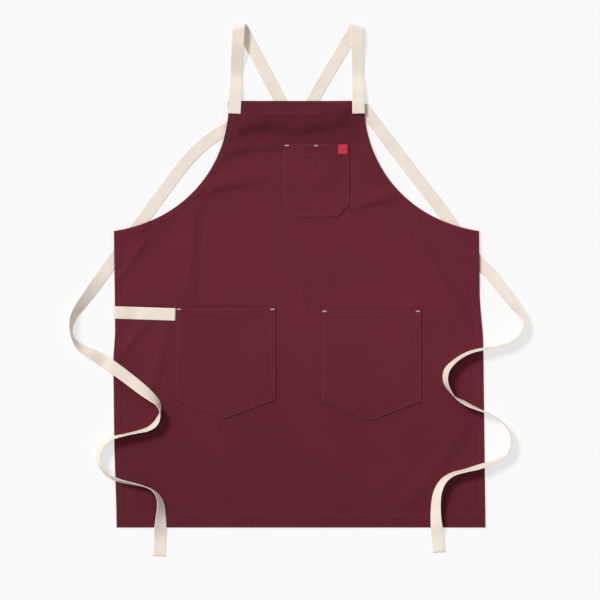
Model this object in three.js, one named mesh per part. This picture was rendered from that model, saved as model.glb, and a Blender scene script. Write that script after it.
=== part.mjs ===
// Cross back apron of cotton twill, laid flat with its front up.
// Its two webbing straps are folded over at the shoulders, cross behind the bib,
// pass behind the corners of the skirt and end in two free ties.
// Millimetres. X runs across the apron, +Y points to the bib and +Z is up.
// The origin is on the underside of the panel, on its middle line.

import * as THREE from "three";

// Panel, cut and hemmed
const BIB_TOP = 378;
const PANEL_LENGTH = 853;
const BIB_WIDTH = 273;
const SKIRT_WIDTH = 730;
const HEM_DRIFT = 7;
const RIGHT_SWING = 6;
const SWING_NEAR = 5;
const SWING_FAR = 110;
const BAND_DEPTH = 26;
const ARMHOLE_DEPTH = 234;
const HEM_DEPTH = 26;
const SIDE_HEM = 10;
const CLOTH = 1.2;
const HEM_THICKNESS = 2.4;

// Clearance between pieces that touch
const GAP = 0.3;

// Webbing
const WEBBING_WIDTH = 25;
const WEBBING_THICKNESS = 1.6;

// Shoulder folds and the hidden folds behind the bib
const SHOULDER_RISE = 147;
const LEFT_SHOULDER = 112;
const RIGHT_SHOULDER = 120;
const SHOULDER_RADIUS = 3.6;
const SEWN_OVERLAP = 26;
const CROSS_ENTRY = 32;
const HIDDEN_DEPTH = 124;
const HIDDEN_SPREAD = 30;
const LEFT_CORNER = { inset: 24.5, tuck: 40 };
const RIGHT_CORNER = { inset: 9, tuck: 7 };

// Keepers behind the corners of the skirt
const KEEPER_LENGTH = 22;
const KEEPER_THICKNESS = 1.0;
const KEEPER_FOOT = 4;
const KEEPER_ROOM = 2;
const KEEPER_WALL = 1.2;
const CORNER_DROP = 22;

// Chest pocket, measured from the bib's right edge and the top edge
const CHEST_INSET = 31.5;
const CHEST_WIDTH = 131;
const CHEST_DROP = 87;
const CHEST_DEPTH = 145;
const CHEST_CUT = 24;

// Hand pockets
const POCKET_WIDTH = 199;
const POCKET_DEPTH = 184;
const POCKET_POINT = 38;
const LEFT_POCKET_DROP = 413;
const RIGHT_POCKET_DROP = 417;
const POCKET_SPACE = 92;
const POCKET_SHIFT = 4;
const POCKET_HEM = 14;

// Towel loop and label tag
const LOOP_DROP = 423;
const LOOP_TILT = 4;
const LOOP_UNDER = 12;
const TAG_SIZE = 19;
const TAG_INSET = 3;
const TAG_THICKNESS = 1.0;

const HALF_BIB = BIB_WIDTH / 2;
const HALF_SKIRT = SKIRT_WIDTH / 2;
const HEM_Y = BIB_TOP - PANEL_LENGTH;
const CORNER_Y = BIB_TOP - BAND_DEPTH - ARMHOLE_DEPTH;
const LAYER = WEBBING_THICKNESS + GAP;
const FOLD_RADIUS = LAYER / 2;
const BIB_LIFT = 2 * LAYER;
const CORNER_LIFT = KEEPER_THICKNESS + GAP + LAYER;
const FLOOR_LEVEL = WEBBING_THICKNESS / 2;
const LOOP_Y = BIB_TOP - LOOP_DROP;
const HEM_STEP = 1.5;
const STATION_STEP = 11;
const FOLD_STEPS = 8;
const TIE_CLEAR = 0.47;

const burgundy = new THREE.MeshStandardMaterial({ color: 0x652632, roughness: 0.9, metalness: 0 });
const pocketCloth = new THREE.MeshStandardMaterial({ color: 0x5f222d, roughness: 0.9, metalness: 0 });
const webbing = new THREE.MeshStandardMaterial({ color: 0xece3d6, roughness: 0.85, metalness: 0 });
const tagRed = new THREE.MeshStandardMaterial({ color: 0xcd283c, roughness: 0.8, metalness: 0 });

const clamp = THREE.MathUtils.clamp;
const lerp = THREE.MathUtils.lerp;

function smooth(from, to, value) {
  const share = clamp((value - from) / (to - from), 0, 1);
  return share * share * (3 - 2 * share);
}

function evenly(from, to, count) {
  return Array.from({ length: count + 1 }, (unused, i) => lerp(from, to, i / count));
}

// Straps: where each leg runs, as shares of the panel.
// out is a share of half the skirt width from the middle line, down a share of the panel's
// length below the top edge, turn the webbing's roll about its own run in degrees.
const leftTieRoute = [
  { out: 0.529, down: 0.109, turn: 0 },
  { out: 0.811, down: 0.260, turn: 0 },
  { out: 1.008, down: 0.375, turn: 0 },
  { out: 1.066, down: 0.409, turn: 4 },
  { out: 1.128, down: 0.446, turn: 22 },
  { out: 1.190, down: 0.482, turn: 42 },
  { out: 1.222, down: 0.504, turn: 58 },
  { out: 1.238, down: 0.528, turn: 76 },
  { out: 1.237, down: 0.546, turn: 86 },
  { out: 1.219, down: 0.564, turn: 76 },
  { out: 1.183, down: 0.580, turn: 52 },
  { out: 1.125, down: 0.593, turn: 40 },
  { out: 1.050, down: 0.613, turn: 14 },
  { out: 0.960, down: 0.641, turn: 18 },
  { out: 0.858, down: 0.675, turn: 29 },
  { out: 0.803, down: 0.694, turn: 48 },
  { out: 0.770, down: 0.708, turn: 68 },
  { out: 0.757, down: 0.723, turn: 84 },
  { out: 0.764, down: 0.740, turn: 106 },
  { out: 0.784, down: 0.756, turn: 115 },
  { out: 0.822, down: 0.768, turn: 108 },
  { out: 0.880, down: 0.775, turn: 98 },
  { out: 0.950, down: 0.782, turn: 96 },
  { out: 1.020, down: 0.790, turn: 102 },
  { out: 1.078, down: 0.808, turn: 112 },
  { out: 1.098, down: 0.832, turn: 114 },
  { out: 1.084, down: 0.858, turn: 110 },
  { out: 1.040, down: 0.878, turn: 112 },
  { out: 0.975, down: 0.890, turn: 106 },
  { out: 0.906, down: 0.897, turn: 102 },
  { out: 0.850, down: 0.903, turn: 96 },
  { out: 0.806, down: 0.911, turn: 92 },
  { out: 0.775, down: 0.925, turn: 78 },
  { out: 0.760, down: 0.946, turn: 58 },
  { out: 0.760, down: 0.972, turn: 42 },
  { out: 0.764, down: 1.001, turn: 16 },
  { out: 0.767, down: 1.029, turn: 0 },
  { out: 0.770, down: 1.067, turn: 0 },
];

const rightTieRoute = [
  { out: 0.576, down: 0.134, turn: 0 },
  { out: 0.803, down: 0.260, turn: 0 },
  { out: 1.008, down: 0.385, turn: 0 },
  { out: 1.048, down: 0.399, turn: 4 },
  { out: 1.112, down: 0.434, turn: 16 },
  { out: 1.180, down: 0.473, turn: 36 },
  { out: 1.214, down: 0.494, turn: 56 },
  { out: 1.234, down: 0.513, turn: 74 },
  { out: 1.228, down: 0.535, turn: 85 },
  { out: 1.178, down: 0.561, turn: 86 },
  { out: 1.100, down: 0.574, turn: 84 },
  { out: 1.025, down: 0.580, turn: 82 },
  { out: 0.940, down: 0.589, turn: 80 },
  { out: 0.868, down: 0.606, turn: 78 },
  { out: 0.812, down: 0.632, turn: 66 },
  { out: 0.806, down: 0.658, turn: 70 },
  { out: 0.848, down: 0.690, turn: 90 },
  { out: 0.910, down: 0.708, turn: 108 },
  { out: 0.985, down: 0.723, turn: 97 },
  { out: 1.060, down: 0.736, turn: 90 },
  { out: 1.128, down: 0.758, turn: 90 },
  { out: 1.160, down: 0.790, turn: 90 },
  { out: 1.140, down: 0.824, turn: 88 },
  { out: 1.062, down: 0.845, turn: 80 },
  { out: 0.982, down: 0.857, turn: 70 },
  { out: 0.905, down: 0.866, turn: 80 },
  { out: 0.835, down: 0.875, turn: 76 },
  { out: 0.786, down: 0.891, turn: 64 },
  { out: 0.756, down: 0.916, turn: 52 },
  { out: 0.745, down: 0.946, turn: 42 },
  { out: 0.744, down: 0.976, turn: 34 },
  { out: 0.750, down: 1.007, turn: 16 },
  { out: 0.762, down: 1.058, turn: 4 },
];

// Soft ridges where the cloth doesn't lie flat: the ends of each as shares, as above,
// with the ridge's height and half width in millimetres.
const folds = [
  { fromOut: -0.55, fromDown: 0.22, toOut: -0.60, toDown: 0.44, height: 1.6, spread: 34 },
  { fromOut: 0.72, fromDown: 0.34, toOut: 0.93, toDown: 0.50, height: 1.8, spread: 32 },
  { fromOut: 0.78, fromDown: 0.76, toOut: 0.94, toDown: 0.70, height: 1.5, spread: 26 },
  { fromOut: -0.95, fromDown: 0.91, toOut: -0.70, toDown: 0.86, height: 1.2, spread: 26 },
];

// The armhole is one cubic curve from the band down to the corner of the skirt. Its two inner
// poles are shares of the way out from the bib's edge and of the way up from the corner.
const UPPER_POLE = { out: 0.03, up: 0.58 };
const LOWER_POLE = { out: 0.34, up: 0.1 };

function armholePole({ out, up }) {
  return new THREE.Vector2(lerp(HALF_BIB, HALF_SKIRT, out), CORNER_Y + up * ARMHOLE_DEPTH);
}

const armhole = new THREE.CubicBezierCurve(
  new THREE.Vector2(HALF_BIB, BIB_TOP - BAND_DEPTH),
  armholePole(UPPER_POLE),
  armholePole(LOWER_POLE),
  new THREE.Vector2(HALF_SKIRT, CORNER_Y),
);

function armholeRow(share) {
  const point = armhole.getPoint(share);
  return { y: point.y, half: point.x };
}

function driftAt(y) {
  return HEM_DRIFT * clamp((CORNER_Y - y) / (CORNER_Y - HEM_Y), 0, 1);
}

// How far the right side of the skirt swings out below the hip
function swingAt(y) {
  return RIGHT_SWING * smooth(SWING_NEAR, SWING_FAR, -y);
}

function place(side, out, down) {
  const y = BIB_TOP - down * PANEL_LENGTH;
  return new THREE.Vector2(side * out * HALF_SKIRT + driftAt(y), y);
}

// Where each strap turns down behind the corner of the bib
function bibCorner(side) {
  const { inset, tuck } = side < 0 ? LEFT_CORNER : RIGHT_CORNER;
  return new THREE.Vector2(side * (HALF_BIB - inset), BIB_TOP - tuck);
}

// The stretches of each strap that pass behind a corner of the skirt
const cornerRuns = [[-1, leftTieRoute], [1, rightTieRoute]].map(([side, route]) => ({
  side,
  bend: place(side, route[0].out, route[0].down),
  enter: place(side, route[1].out, route[1].down),
  leave: place(side, route[2].out, route[2].down),
}));

function distanceTo(x, y, from, to) {
  const run = to.clone().sub(from);
  const share = clamp(((x - from.x) * run.x + (y - from.y) * run.y) / run.lengthSq(), 0, 1);
  return Math.hypot(x - from.x - share * run.x, y - from.y - share * run.y);
}

// How far the underside of the panel lies above the floor
const CORNER_FLAT = WEBBING_WIDTH / 2 + KEEPER_FOOT + 23;
const CORNER_SLOPE = 34;
const LOOP_FLAT = 12;
const LOOP_SLOPE = 38;
const BIB_SLOPE_START = 100;
const BIB_SLOPE_END = 16;

function panelLift(x, y) {
  const chestFoot = BIB_TOP - CHEST_DROP - CHEST_DEPTH;
  let lift = BIB_LIFT * smooth(chestFoot - BIB_SLOPE_START, chestFoot - BIB_SLOPE_END, y);
  for (const { side, bend, enter, leave } of cornerRuns) {
    const runs = [[bibCorner(side), bend], [bend, enter], [enter, leave]];
    const distance = Math.min(...runs.map(([from, to]) => distanceTo(x, y, from, to)));
    lift = Math.max(lift, CORNER_LIFT * (1 - smooth(CORNER_FLAT, CORNER_FLAT + CORNER_SLOPE, distance)));
  }
  const fromEdge = Math.abs(x - driftAt(LOOP_Y) + HALF_SKIRT) - LOOP_UNDER;
  const fromLoop = Math.max(fromEdge, Math.abs(y - LOOP_Y) - WEBBING_WIDTH / 2);
  lift = Math.max(lift, LAYER * (1 - smooth(LOOP_FLAT, LOOP_FLAT + LOOP_SLOPE, fromLoop)));
  for (const fold of folds) {
    const from = place(1, fold.fromOut, fold.fromDown);
    const to = place(1, fold.toOut, fold.toDown);
    lift = Math.max(lift, fold.height * (1 - smooth(0, fold.spread, distanceTo(x, y, from, to))));
  }
  return lift;
}

function meshFrom(name, positions, indices, material) {
  const geometry = new THREE.BufferGeometry();
  geometry.setAttribute("position", new THREE.Float32BufferAttribute(positions, 3));
  geometry.setIndex(indices);
  geometry.computeVertexNormals();
  const mesh = new THREE.Mesh(geometry, material);
  mesh.name = name;
  return mesh;
}

// A sheet of cloth from rows that run from its foot to its head. columnsAt gives the x of
// each column in a row, and under and over the heights of its two faces.
function clothSheet(name, rows, columnsAt, under, over, material) {
  const positions = [];
  const indices = [];
  const width = columnsAt(rows[0]).length;
  for (const face of [under, over]) {
    for (const row of rows) {
      for (const x of columnsAt(row)) positions.push(x, row.y, face(x, row.y, row));
    }
  }
  const layer = rows.length * width;
  const at = (row, column, top) => top * layer + row * width + column;
  const quad = (a, b, c, d) => indices.push(a, b, c, a, c, d);
  const last = width - 1;
  const head = rows.length - 1;
  for (let r = 0; r < head; r++) {
    for (let c = 0; c < last; c++) {
      quad(at(r, c, 1), at(r, c + 1, 1), at(r + 1, c + 1, 1), at(r + 1, c, 1));
      quad(at(r, c, 0), at(r + 1, c, 0), at(r + 1, c + 1, 0), at(r, c + 1, 0));
    }
    quad(at(r, 0, 0), at(r, 0, 1), at(r + 1, 0, 1), at(r + 1, 0, 0));
    quad(at(r, last, 0), at(r + 1, last, 0), at(r + 1, last, 1), at(r, last, 1));
  }
  for (let c = 0; c < last; c++) {
    quad(at(0, c, 0), at(0, c + 1, 0), at(0, c + 1, 1), at(0, c, 1));
    quad(at(head, c, 0), at(head, c, 1), at(head, c + 1, 1), at(head, c + 1, 0));
  }
  return meshFrom(name, positions, indices, material);
}

// Panel: rows are close together where the straps and the towel loop pass behind it
const columnShares = [0.03, 0.06, 0.09, 0.12, 0.16, 0.2, 0.25, 0.31, 0.4, 0.52, 0.68, 0.84];
const CORNER_ROWS = 108;

function panelRows() {
  const skirtTop = CORNER_Y - CORNER_ROWS;
  const loopFoot = LOOP_Y - WEBBING_WIDTH;
  const loopHead = LOOP_Y + WEBBING_WIDTH;
  const heights = [HEM_Y, HEM_Y + HEM_DEPTH];
  heights.push(...evenly(HEM_Y + HEM_DEPTH + HEM_STEP, loopFoot, 11));
  heights.push(...evenly(loopFoot, loopHead, 2).slice(1));
  heights.push(...evenly(loopHead, skirtTop, 1).slice(1));
  heights.push(...evenly(skirtTop, CORNER_Y - SIDE_HEM, 9).slice(1));
  const rows = heights.map((y) => ({ y, half: HALF_SKIRT }));
  rows.push(...evenly(1, 0, 18).map(armholeRow));
  rows.push({ y: BIB_TOP - BAND_DEPTH + HEM_STEP, half: HALF_BIB });
  rows.push({ y: BIB_TOP, half: HALF_BIB });
  return rows;
}

function panelColumns(row) {
  const hem = SIDE_HEM + HEM_STEP;
  const inward = (half) => [0, SIDE_HEM, hem, ...columnShares.map((share) => lerp(hem, half, share))];
  const middle = driftAt(row.y);
  const rightHalf = row.half + swingAt(row.y);
  const left = inward(row.half).map((step) => middle - row.half + step);
  const right = inward(rightHalf).map((step) => middle + rightHalf - step).reverse();
  return [...left, middle, ...right];
}

function panelThickness(x, row) {
  const inHem = row.y < HEM_Y + HEM_DEPTH + HEM_STEP / 2;
  const inBand = row.y > BIB_TOP - BAND_DEPTH + HEM_STEP / 2;
  const across = x - driftAt(row.y);
  const fromSide = Math.min(row.half + across, row.half + swingAt(row.y) - across);
  const inSide = fromSide < SIDE_HEM + HEM_STEP / 2;
  return inHem || inBand || inSide ? HEM_THICKNESS : CLOTH;
}

function bodyPanel() {
  const over = (x, y, row) => panelLift(x, y) + panelThickness(x, row);
  return clothSheet("body_panel", panelRows(), panelColumns, panelLift, over, burgundy);
}

// Pockets lie on a level stretch of the panel, a gap above it
function pocket(name, rows, level, hemFoot) {
  const columns = (row) => [row.left, (row.left + row.right) / 2, row.right];
  const over = (x, y) => level + (y > hemFoot + HEM_STEP / 2 ? HEM_THICKNESS : CLOTH);
  return clothSheet(name, rows, columns, () => level, over, pocketCloth);
}

const chestTop = BIB_TOP - CHEST_DROP;
const chestRight = HALF_BIB - CHEST_INSET;
const chestLeft = chestRight - CHEST_WIDTH;
const chestLevel = BIB_LIFT + CLOTH + GAP;

function chestPocket() {
  const foot = chestTop - CHEST_DEPTH;
  const hemFoot = chestTop - TAG_SIZE - 2 * HEM_STEP;
  const rows = [
    { y: foot, left: chestLeft + CHEST_CUT, right: chestRight - CHEST_CUT },
    { y: foot + CHEST_CUT, left: chestLeft, right: chestRight },
    { y: hemFoot, left: chestLeft, right: chestRight },
    { y: hemFoot + HEM_STEP, left: chestLeft, right: chestRight },
    { y: chestTop, left: chestLeft, right: chestRight },
  ];
  return pocket("chest_pocket", rows, chestLevel, hemFoot);
}

const POCKET_TIP = 2;
const leftPocketX = POCKET_SHIFT - POCKET_SPACE / 2 - POCKET_WIDTH;
const rightPocketX = POCKET_SHIFT + POCKET_SPACE / 2;

function handPocket(name, left, drop) {
  const top = BIB_TOP - drop;
  const corner = top - POCKET_DEPTH;
  const hemFoot = top - POCKET_HEM;
  const right = left + POCKET_WIDTH;
  const middle = left + POCKET_WIDTH / 2;
  const rows = [
    { y: corner - POCKET_POINT, left: middle - POCKET_TIP, right: middle + POCKET_TIP },
    { y: corner, left, right },
    { y: hemFoot, left, right },
    { y: hemFoot + HEM_STEP, left, right },
    { y: top, left, right },
  ];
  return pocket(name, rows, CLOTH + GAP, hemFoot);
}

function labelTag() {
  const tag = new THREE.Mesh(new THREE.BoxGeometry(TAG_SIZE, TAG_SIZE, TAG_THICKNESS), tagRed);
  const level = chestLevel + HEM_THICKNESS + GAP + TAG_THICKNESS / 2;
  tag.position.set(chestRight - TAG_INSET - TAG_SIZE / 2, chestTop - TAG_SIZE / 2, level);
  tag.name = "label_tag";
  return tag;
}

// Webbing: a flat section carried through stations, each with a place and a facing
function webbingSolid(name, stations) {
  const positions = [];
  const indices = [];
  const corners = [[-1, -1], [-1, 1], [1, 1], [1, -1]];
  for (const { point, wide, face, stretch = 1 } of stations) {
    for (const [across, through] of corners) {
      const corner = point.clone();
      corner.addScaledVector(wide, (across * stretch * WEBBING_WIDTH) / 2);
      corner.addScaledVector(face, (through * WEBBING_THICKNESS) / 2);
      positions.push(corner.x, corner.y, corner.z);
    }
  }
  for (let i = 0; i < stations.length - 1; i++) {
    for (let k = 0; k < 4; k++) {
      const a = 4 * i + k;
      const b = 4 * i + ((k + 1) % 4);
      indices.push(a, b, b + 4, a, b + 4, a + 4);
    }
  }
  const end = 4 * (stations.length - 1);
  indices.push(0, 2, 1, 0, 3, 2);
  indices.push(end, end + 1, end + 2, end, end + 2, end + 3);
  return meshFrom(name, positions, indices, webbing);
}

// One station on its rest. flip is 1 or -1 for the face that is up, turn the roll in degrees.
function stationAt(spot, heading, flip, turn, restAt) {
  const face = new THREE.Vector3(0, 0, flip);
  const run = new THREE.Vector3(heading.x, heading.y, 0).normalize();
  const wide = new THREE.Vector3().crossVectors(run, face);
  const roll = THREE.MathUtils.degToRad(turn);
  wide.applyAxisAngle(run, roll);
  face.applyAxisAngle(run, roll);
  const reach = (WEBBING_WIDTH * Math.abs(wide.z) + WEBBING_THICKNESS * Math.abs(face.z)) / 2;
  const sides = [-1, 0, 1].map((share) => (share * WEBBING_WIDTH) / 2);
  const rest = Math.max(...sides.map((side) => restAt(spot.x + side * wide.x, spot.y + side * wide.y)));
  return { point: new THREE.Vector3(spot.x, spot.y, rest + reach), wide, face };
}

// A leg of webbing through its points, in steps of about STATION_STEP. It stops short of
// its ends by startGap and endGap, where the slanted section of a fold needs the room.
function legStations(points, flip, restAt, startGap = 0, endGap = 0) {
  const spots = points.map((p) => new THREE.Vector3(p.x, p.y, 0));
  const path = new THREE.CatmullRomCurve3(spots, false, "centripetal");
  const length = path.getLength();
  const count = Math.max(2, Math.round((length - startGap - endGap) / STATION_STEP));
  return evenly(startGap / length, 1 - endGap / length, count).map((share) => {
    const t = path.getUtoTmapping(share);
    const before = Math.min(Math.floor(t * (points.length - 1)), points.length - 2);
    const between = smooth(0, 1, t * (points.length - 1) - before);
    const turn = lerp(points[before].turn ?? 0, points[before + 1].turn ?? 0, between);
    return stationAt(path.getPoint(t), path.getTangent(t), flip, turn, restAt);
  });
}

// A fold turns the webbing half round a level crease: sense 1 turns it over, -1 under.
// Its sections run along the crease, so they are longer than the webbing is wide.
function foldStations(crease, from, to, level, radius, sense, flip) {
  const heading = (a, b) => new THREE.Vector3(b.x - a.x, b.y - a.y, 0).normalize();
  const into = heading(from, crease);
  const along = into.clone().add(heading(crease, to)).normalize();
  const ahead = into.clone().addScaledVector(along, -into.dot(along)).normalize();
  const lean = into.dot(along) / into.dot(ahead);
  const stretch = 1 / into.dot(ahead);
  const across = new THREE.Vector3().crossVectors(ahead, new THREE.Vector3(0, 0, flip));
  const wide = along.clone().multiplyScalar(Math.sign(across.dot(along)));
  const stations = evenly(0, Math.PI, FOLD_STEPS).map((angle) => {
    const point = new THREE.Vector3(crease.x, crease.y, level + sense * radius * (1 - Math.cos(angle)));
    point.addScaledVector(ahead, radius * Math.sin(angle));
    point.addScaledVector(along, radius * lean * (angle - Math.PI / 2));
    const face = new THREE.Vector3(0, 0, flip * Math.cos(angle));
    face.addScaledVector(ahead, -sense * flip * Math.sin(angle));
    return { point, wide, face, stretch };
  });
  const room = (WEBBING_WIDTH / 2) * Math.abs(lean) + 2 * WEBBING_THICKNESS;
  return { stations, room, first: stations[0].point, last: stations[FOLD_STEPS].point };
}

const bandTop = BIB_LIFT + HEM_THICKNESS + GAP;

// Height of the panel's upper face for a tie that crosses it, and 0 out on the floor
const EDGE_NEAR = 6;
const EDGE_FAR = 36;
const NEIGHBOUR = 17;

function panelRest(x, y) {
  const across = x - driftAt(y);
  const outside = Math.max(-across - HALF_SKIRT, across - HALF_SKIRT - swingAt(y), HEM_Y - y);
  const onPanel = 1 - smooth(EDGE_NEAR, EDGE_FAR, outside);
  const hemmed = 1 - smooth(SIDE_HEM + NEIGHBOUR, SIDE_HEM + 2 * NEIGHBOUR, -outside);
  const steps = [[0, 0], [NEIGHBOUR, 0], [-NEIGHBOUR, 0], [0, NEIGHBOUR], [0, -NEIGHBOUR]];
  const lift = Math.max(...steps.map(([dx, dy]) => panelLift(x + dx, y + dy)));
  const hem = y < HEM_Y + HEM_DEPTH + NEIGHBOUR ? 1 : hemmed;
  return onPanel * (lift + lerp(CLOTH, HEM_THICKNESS, hem) + GAP);
}

// Where the keeper holds a strap behind the corner of the skirt
function keeperSpot({ enter, leave }) {
  const share = (enter.y - (CORNER_Y - CORNER_DROP)) / (enter.y - leave.y);
  return enter.clone().lerp(leave, share);
}

const STACK_FLAT = 36;
const STACK_SLOPE = 24;

// How the front run of a strap falls from the band to the floor and rises to the shoulder fold
const STRAP_NEAR = 8;
const STRAP_FAR = 55;
const RISE_NEAR = 20;
const RISE_FAR = 75;

function stackRest(spot, flat, slope, height) {
  return (x, y) => height * (1 - smooth(flat, flat + slope, Math.hypot(x - spot.x, y - spot.y)));
}

function highest(...rests) {
  return (x, y) => Math.max(...rests.map((rest) => rest(x, y)));
}

// A strap from its sewn end on the bib, over the shoulder, behind the bib and behind the
// corner of the other side, to its free end. crossLevel lifts it over the other strap.
function strap(name, side, shoulderX, route, crossLevel) {
  const run = cornerRuns.find((corner) => corner.side === -side);
  const sewn = new THREE.Vector2(side * (HALF_BIB - WEBBING_WIDTH / 2), BIB_TOP - SEWN_OVERLAP);
  const shoulder = new THREE.Vector2(side * shoulderX, BIB_TOP + SHOULDER_RISE);
  const entry = new THREE.Vector2(side * CROSS_ENTRY, BIB_TOP);
  const turn = new THREE.Vector2(-side * HIDDEN_SPREAD, BIB_TOP - HIDDEN_DEPTH);
  const corner = bibCorner(-side);
  const crossDrop = (HIDDEN_DEPTH * CROSS_ENTRY) / (CROSS_ENTRY + HIDDEN_SPREAD);
  const crossing = new THREE.Vector2(0, entry.y - crossDrop);
  const shoulderLevel = FLOOR_LEVEL + 2 * SHOULDER_RADIUS;
  const shoulderFold = foldStations(shoulder, sewn, entry, shoulderLevel, SHOULDER_RADIUS, -1, 1);
  const turnFold = foldStations(turn, entry, corner, FLOOR_LEVEL, FOLD_RADIUS, 1, -1);
  const cornerFold = foldStations(corner, turn, run.bend, FLOOR_LEVEL, FOLD_RADIUS, 1, 1);
  const frontRest = (x, y) => Math.max(
    bandTop * (1 - smooth(BIB_TOP + STRAP_NEAR, BIB_TOP + STRAP_FAR, y)),
    2 * SHOULDER_RADIUS * smooth(shoulder.y - RISE_FAR, shoulder.y - RISE_NEAR, y),
  );
  const crossRest = stackRest(crossing, STACK_FLAT, STACK_SLOPE, crossLevel);
  const turnRest = stackRest(turn, STACK_FLAT, STACK_SLOPE, LAYER);
  const cornerRest = stackRest(corner, STACK_FLAT, STACK_SLOPE, LAYER);
  const keeperFlat = KEEPER_LENGTH / 2 + STATION_STEP;
  const keeperRest = stackRest(keeperSpot(run), keeperFlat, STACK_SLOPE, KEEPER_THICKNESS + GAP);
  const clearY = BIB_TOP - TIE_CLEAR * PANEL_LENGTH;
  const tieRest = (x, y) => (y > clearY ? highest(cornerRest, keeperRest)(x, y) : panelRest(x, y));
  const tie = route.map((row) => Object.assign(place(-side, row.out, row.down), { turn: -side * row.turn }));
  const backRun = [shoulderFold.last, entry, turnFold.first];
  return webbingSolid(name, [
    ...legStations([sewn, shoulderFold.first], 1, frontRest, 0, shoulderFold.room),
    ...shoulderFold.stations,
    ...legStations(backRun, -1, crossRest, shoulderFold.room, turnFold.room),
    ...turnFold.stations,
    ...legStations([turnFold.last, cornerFold.first], 1, turnRest, turnFold.room, cornerFold.room),
    ...cornerFold.stations,
    ...legStations([cornerFold.last, ...tie], -1, tieRest, cornerFold.room),
  ]);
}

// Towel loop: webbing from the side of the left pocket, round the edge of the panel
const LOOP_NEAR = 20;
const LOOP_FAR = 44;

function towelLoop() {
  const edge = driftAt(LOOP_Y) - HALF_SKIRT - GAP;
  const radius = (LAYER + HEM_THICKNESS + GAP) / 2;
  const start = new THREE.Vector2(leftPocketX - 1, LOOP_Y - LOOP_TILT);
  const crease = new THREE.Vector2(edge, LOOP_Y);
  const end = new THREE.Vector2(edge + LOOP_UNDER, LOOP_Y);
  const level = FLOOR_LEVEL + 2 * radius;
  const fold = foldStations(crease, start, end, level, radius, -1, 1);
  const overEdge = (x) => 2 * radius * (1 - smooth(LOOP_NEAR, LOOP_FAR, x - edge));
  const onTop = (x, y) => Math.max(panelRest(x, y), overEdge(x));
  return webbingSolid("towel_loop", [
    ...legStations([start, fold.first], 1, onTop, 0, fold.room),
    ...fold.stations,
    stationAt(end, { x: 1, y: 0 }, -1, 0, () => 0),
  ]);
}

// Keepers: a strip behind each corner that passes round the strap, its feet on the panel
function strapKeeper(name, run) {
  const inner = WEBBING_WIDTH / 2 + KEEPER_ROOM;
  const shoulder = inner + HEM_STEP;
  const wall = KEEPER_WALL;
  const outer = shoulder + wall + KEEPER_FOOT;
  const foot = CORNER_LIFT - GAP - KEEPER_THICKNESS;
  const top = foot + KEEPER_THICKNESS;
  const upper = [[outer, top], [shoulder, top], [inner, KEEPER_THICKNESS]];
  const lower = [[inner + wall, 0], [shoulder + wall, foot], [outer, foot]];
  const half = [...lower, ...upper];
  const mirrored = half.map(([x, z]) => [-x, z]).reverse();
  const shape = new THREE.Shape([...half, ...mirrored].map(([x, z]) => new THREE.Vector2(x, z)));
  const solid = new THREE.ExtrudeGeometry(shape, { depth: KEEPER_LENGTH, bevelEnabled: false });
  solid.translate(0, 0, -KEEPER_LENGTH / 2);
  solid.rotateX(Math.PI / 2);
  const keeper = new THREE.Mesh(solid, burgundy);
  const heading = run.leave.clone().sub(run.enter);
  const spot = keeperSpot(run);
  keeper.position.set(spot.x, spot.y, 0);
  keeper.rotation.z = Math.atan2(heading.y, heading.x) + Math.PI / 2;
  keeper.name = name;
  return keeper;
}

const apron = new THREE.Group();
apron.name = "cross_back_apron";
apron.add(bodyPanel());
apron.add(chestPocket());
apron.add(labelTag());
apron.add(handPocket("pocket_left", leftPocketX, LEFT_POCKET_DROP));
apron.add(handPocket("pocket_right", rightPocketX, RIGHT_POCKET_DROP));
apron.add(towelLoop());
apron.add(strapKeeper("strap_keeper_left", cornerRuns[0]));
apron.add(strapKeeper("strap_keeper_right", cornerRuns[1]));
apron.add(strap("strap_left", -1, LEFT_SHOULDER, rightTieRoute, LAYER));
apron.add(strap("strap_right", 1, RIGHT_SHOULDER, leftTieRoute, 0));

export default apron;
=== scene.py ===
"""Burgundy twill cross back apron, laid flat, with its webbing straps, pockets and stitching."""

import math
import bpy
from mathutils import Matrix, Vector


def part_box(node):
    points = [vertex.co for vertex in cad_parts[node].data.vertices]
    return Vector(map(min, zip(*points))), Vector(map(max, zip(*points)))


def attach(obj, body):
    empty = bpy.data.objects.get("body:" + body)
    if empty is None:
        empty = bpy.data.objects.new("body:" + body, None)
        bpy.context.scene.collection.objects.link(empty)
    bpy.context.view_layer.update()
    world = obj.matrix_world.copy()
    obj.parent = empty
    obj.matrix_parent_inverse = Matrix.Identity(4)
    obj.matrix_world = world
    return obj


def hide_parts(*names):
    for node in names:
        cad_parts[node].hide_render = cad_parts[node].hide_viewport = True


bl_info = {
    "name": "Cross Back Apron",
    "version": (1, 0, 0),
    "blender": (4, 5, 0),
    "location": "View3D > Sidebar > Apron",
    "description": "Builds a twill apron with webbing straps, patch pockets and stitched hems",
    "category": "Add Mesh",
}

import bpy
import numpy as np
from mathutils import Vector

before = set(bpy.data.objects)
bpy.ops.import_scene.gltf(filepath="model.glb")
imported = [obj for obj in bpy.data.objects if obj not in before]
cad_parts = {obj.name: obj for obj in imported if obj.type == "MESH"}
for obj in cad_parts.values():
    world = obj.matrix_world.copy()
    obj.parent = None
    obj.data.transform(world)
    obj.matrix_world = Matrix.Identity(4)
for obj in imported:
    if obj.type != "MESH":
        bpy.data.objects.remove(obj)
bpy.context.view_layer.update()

MM = 0.001

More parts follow.
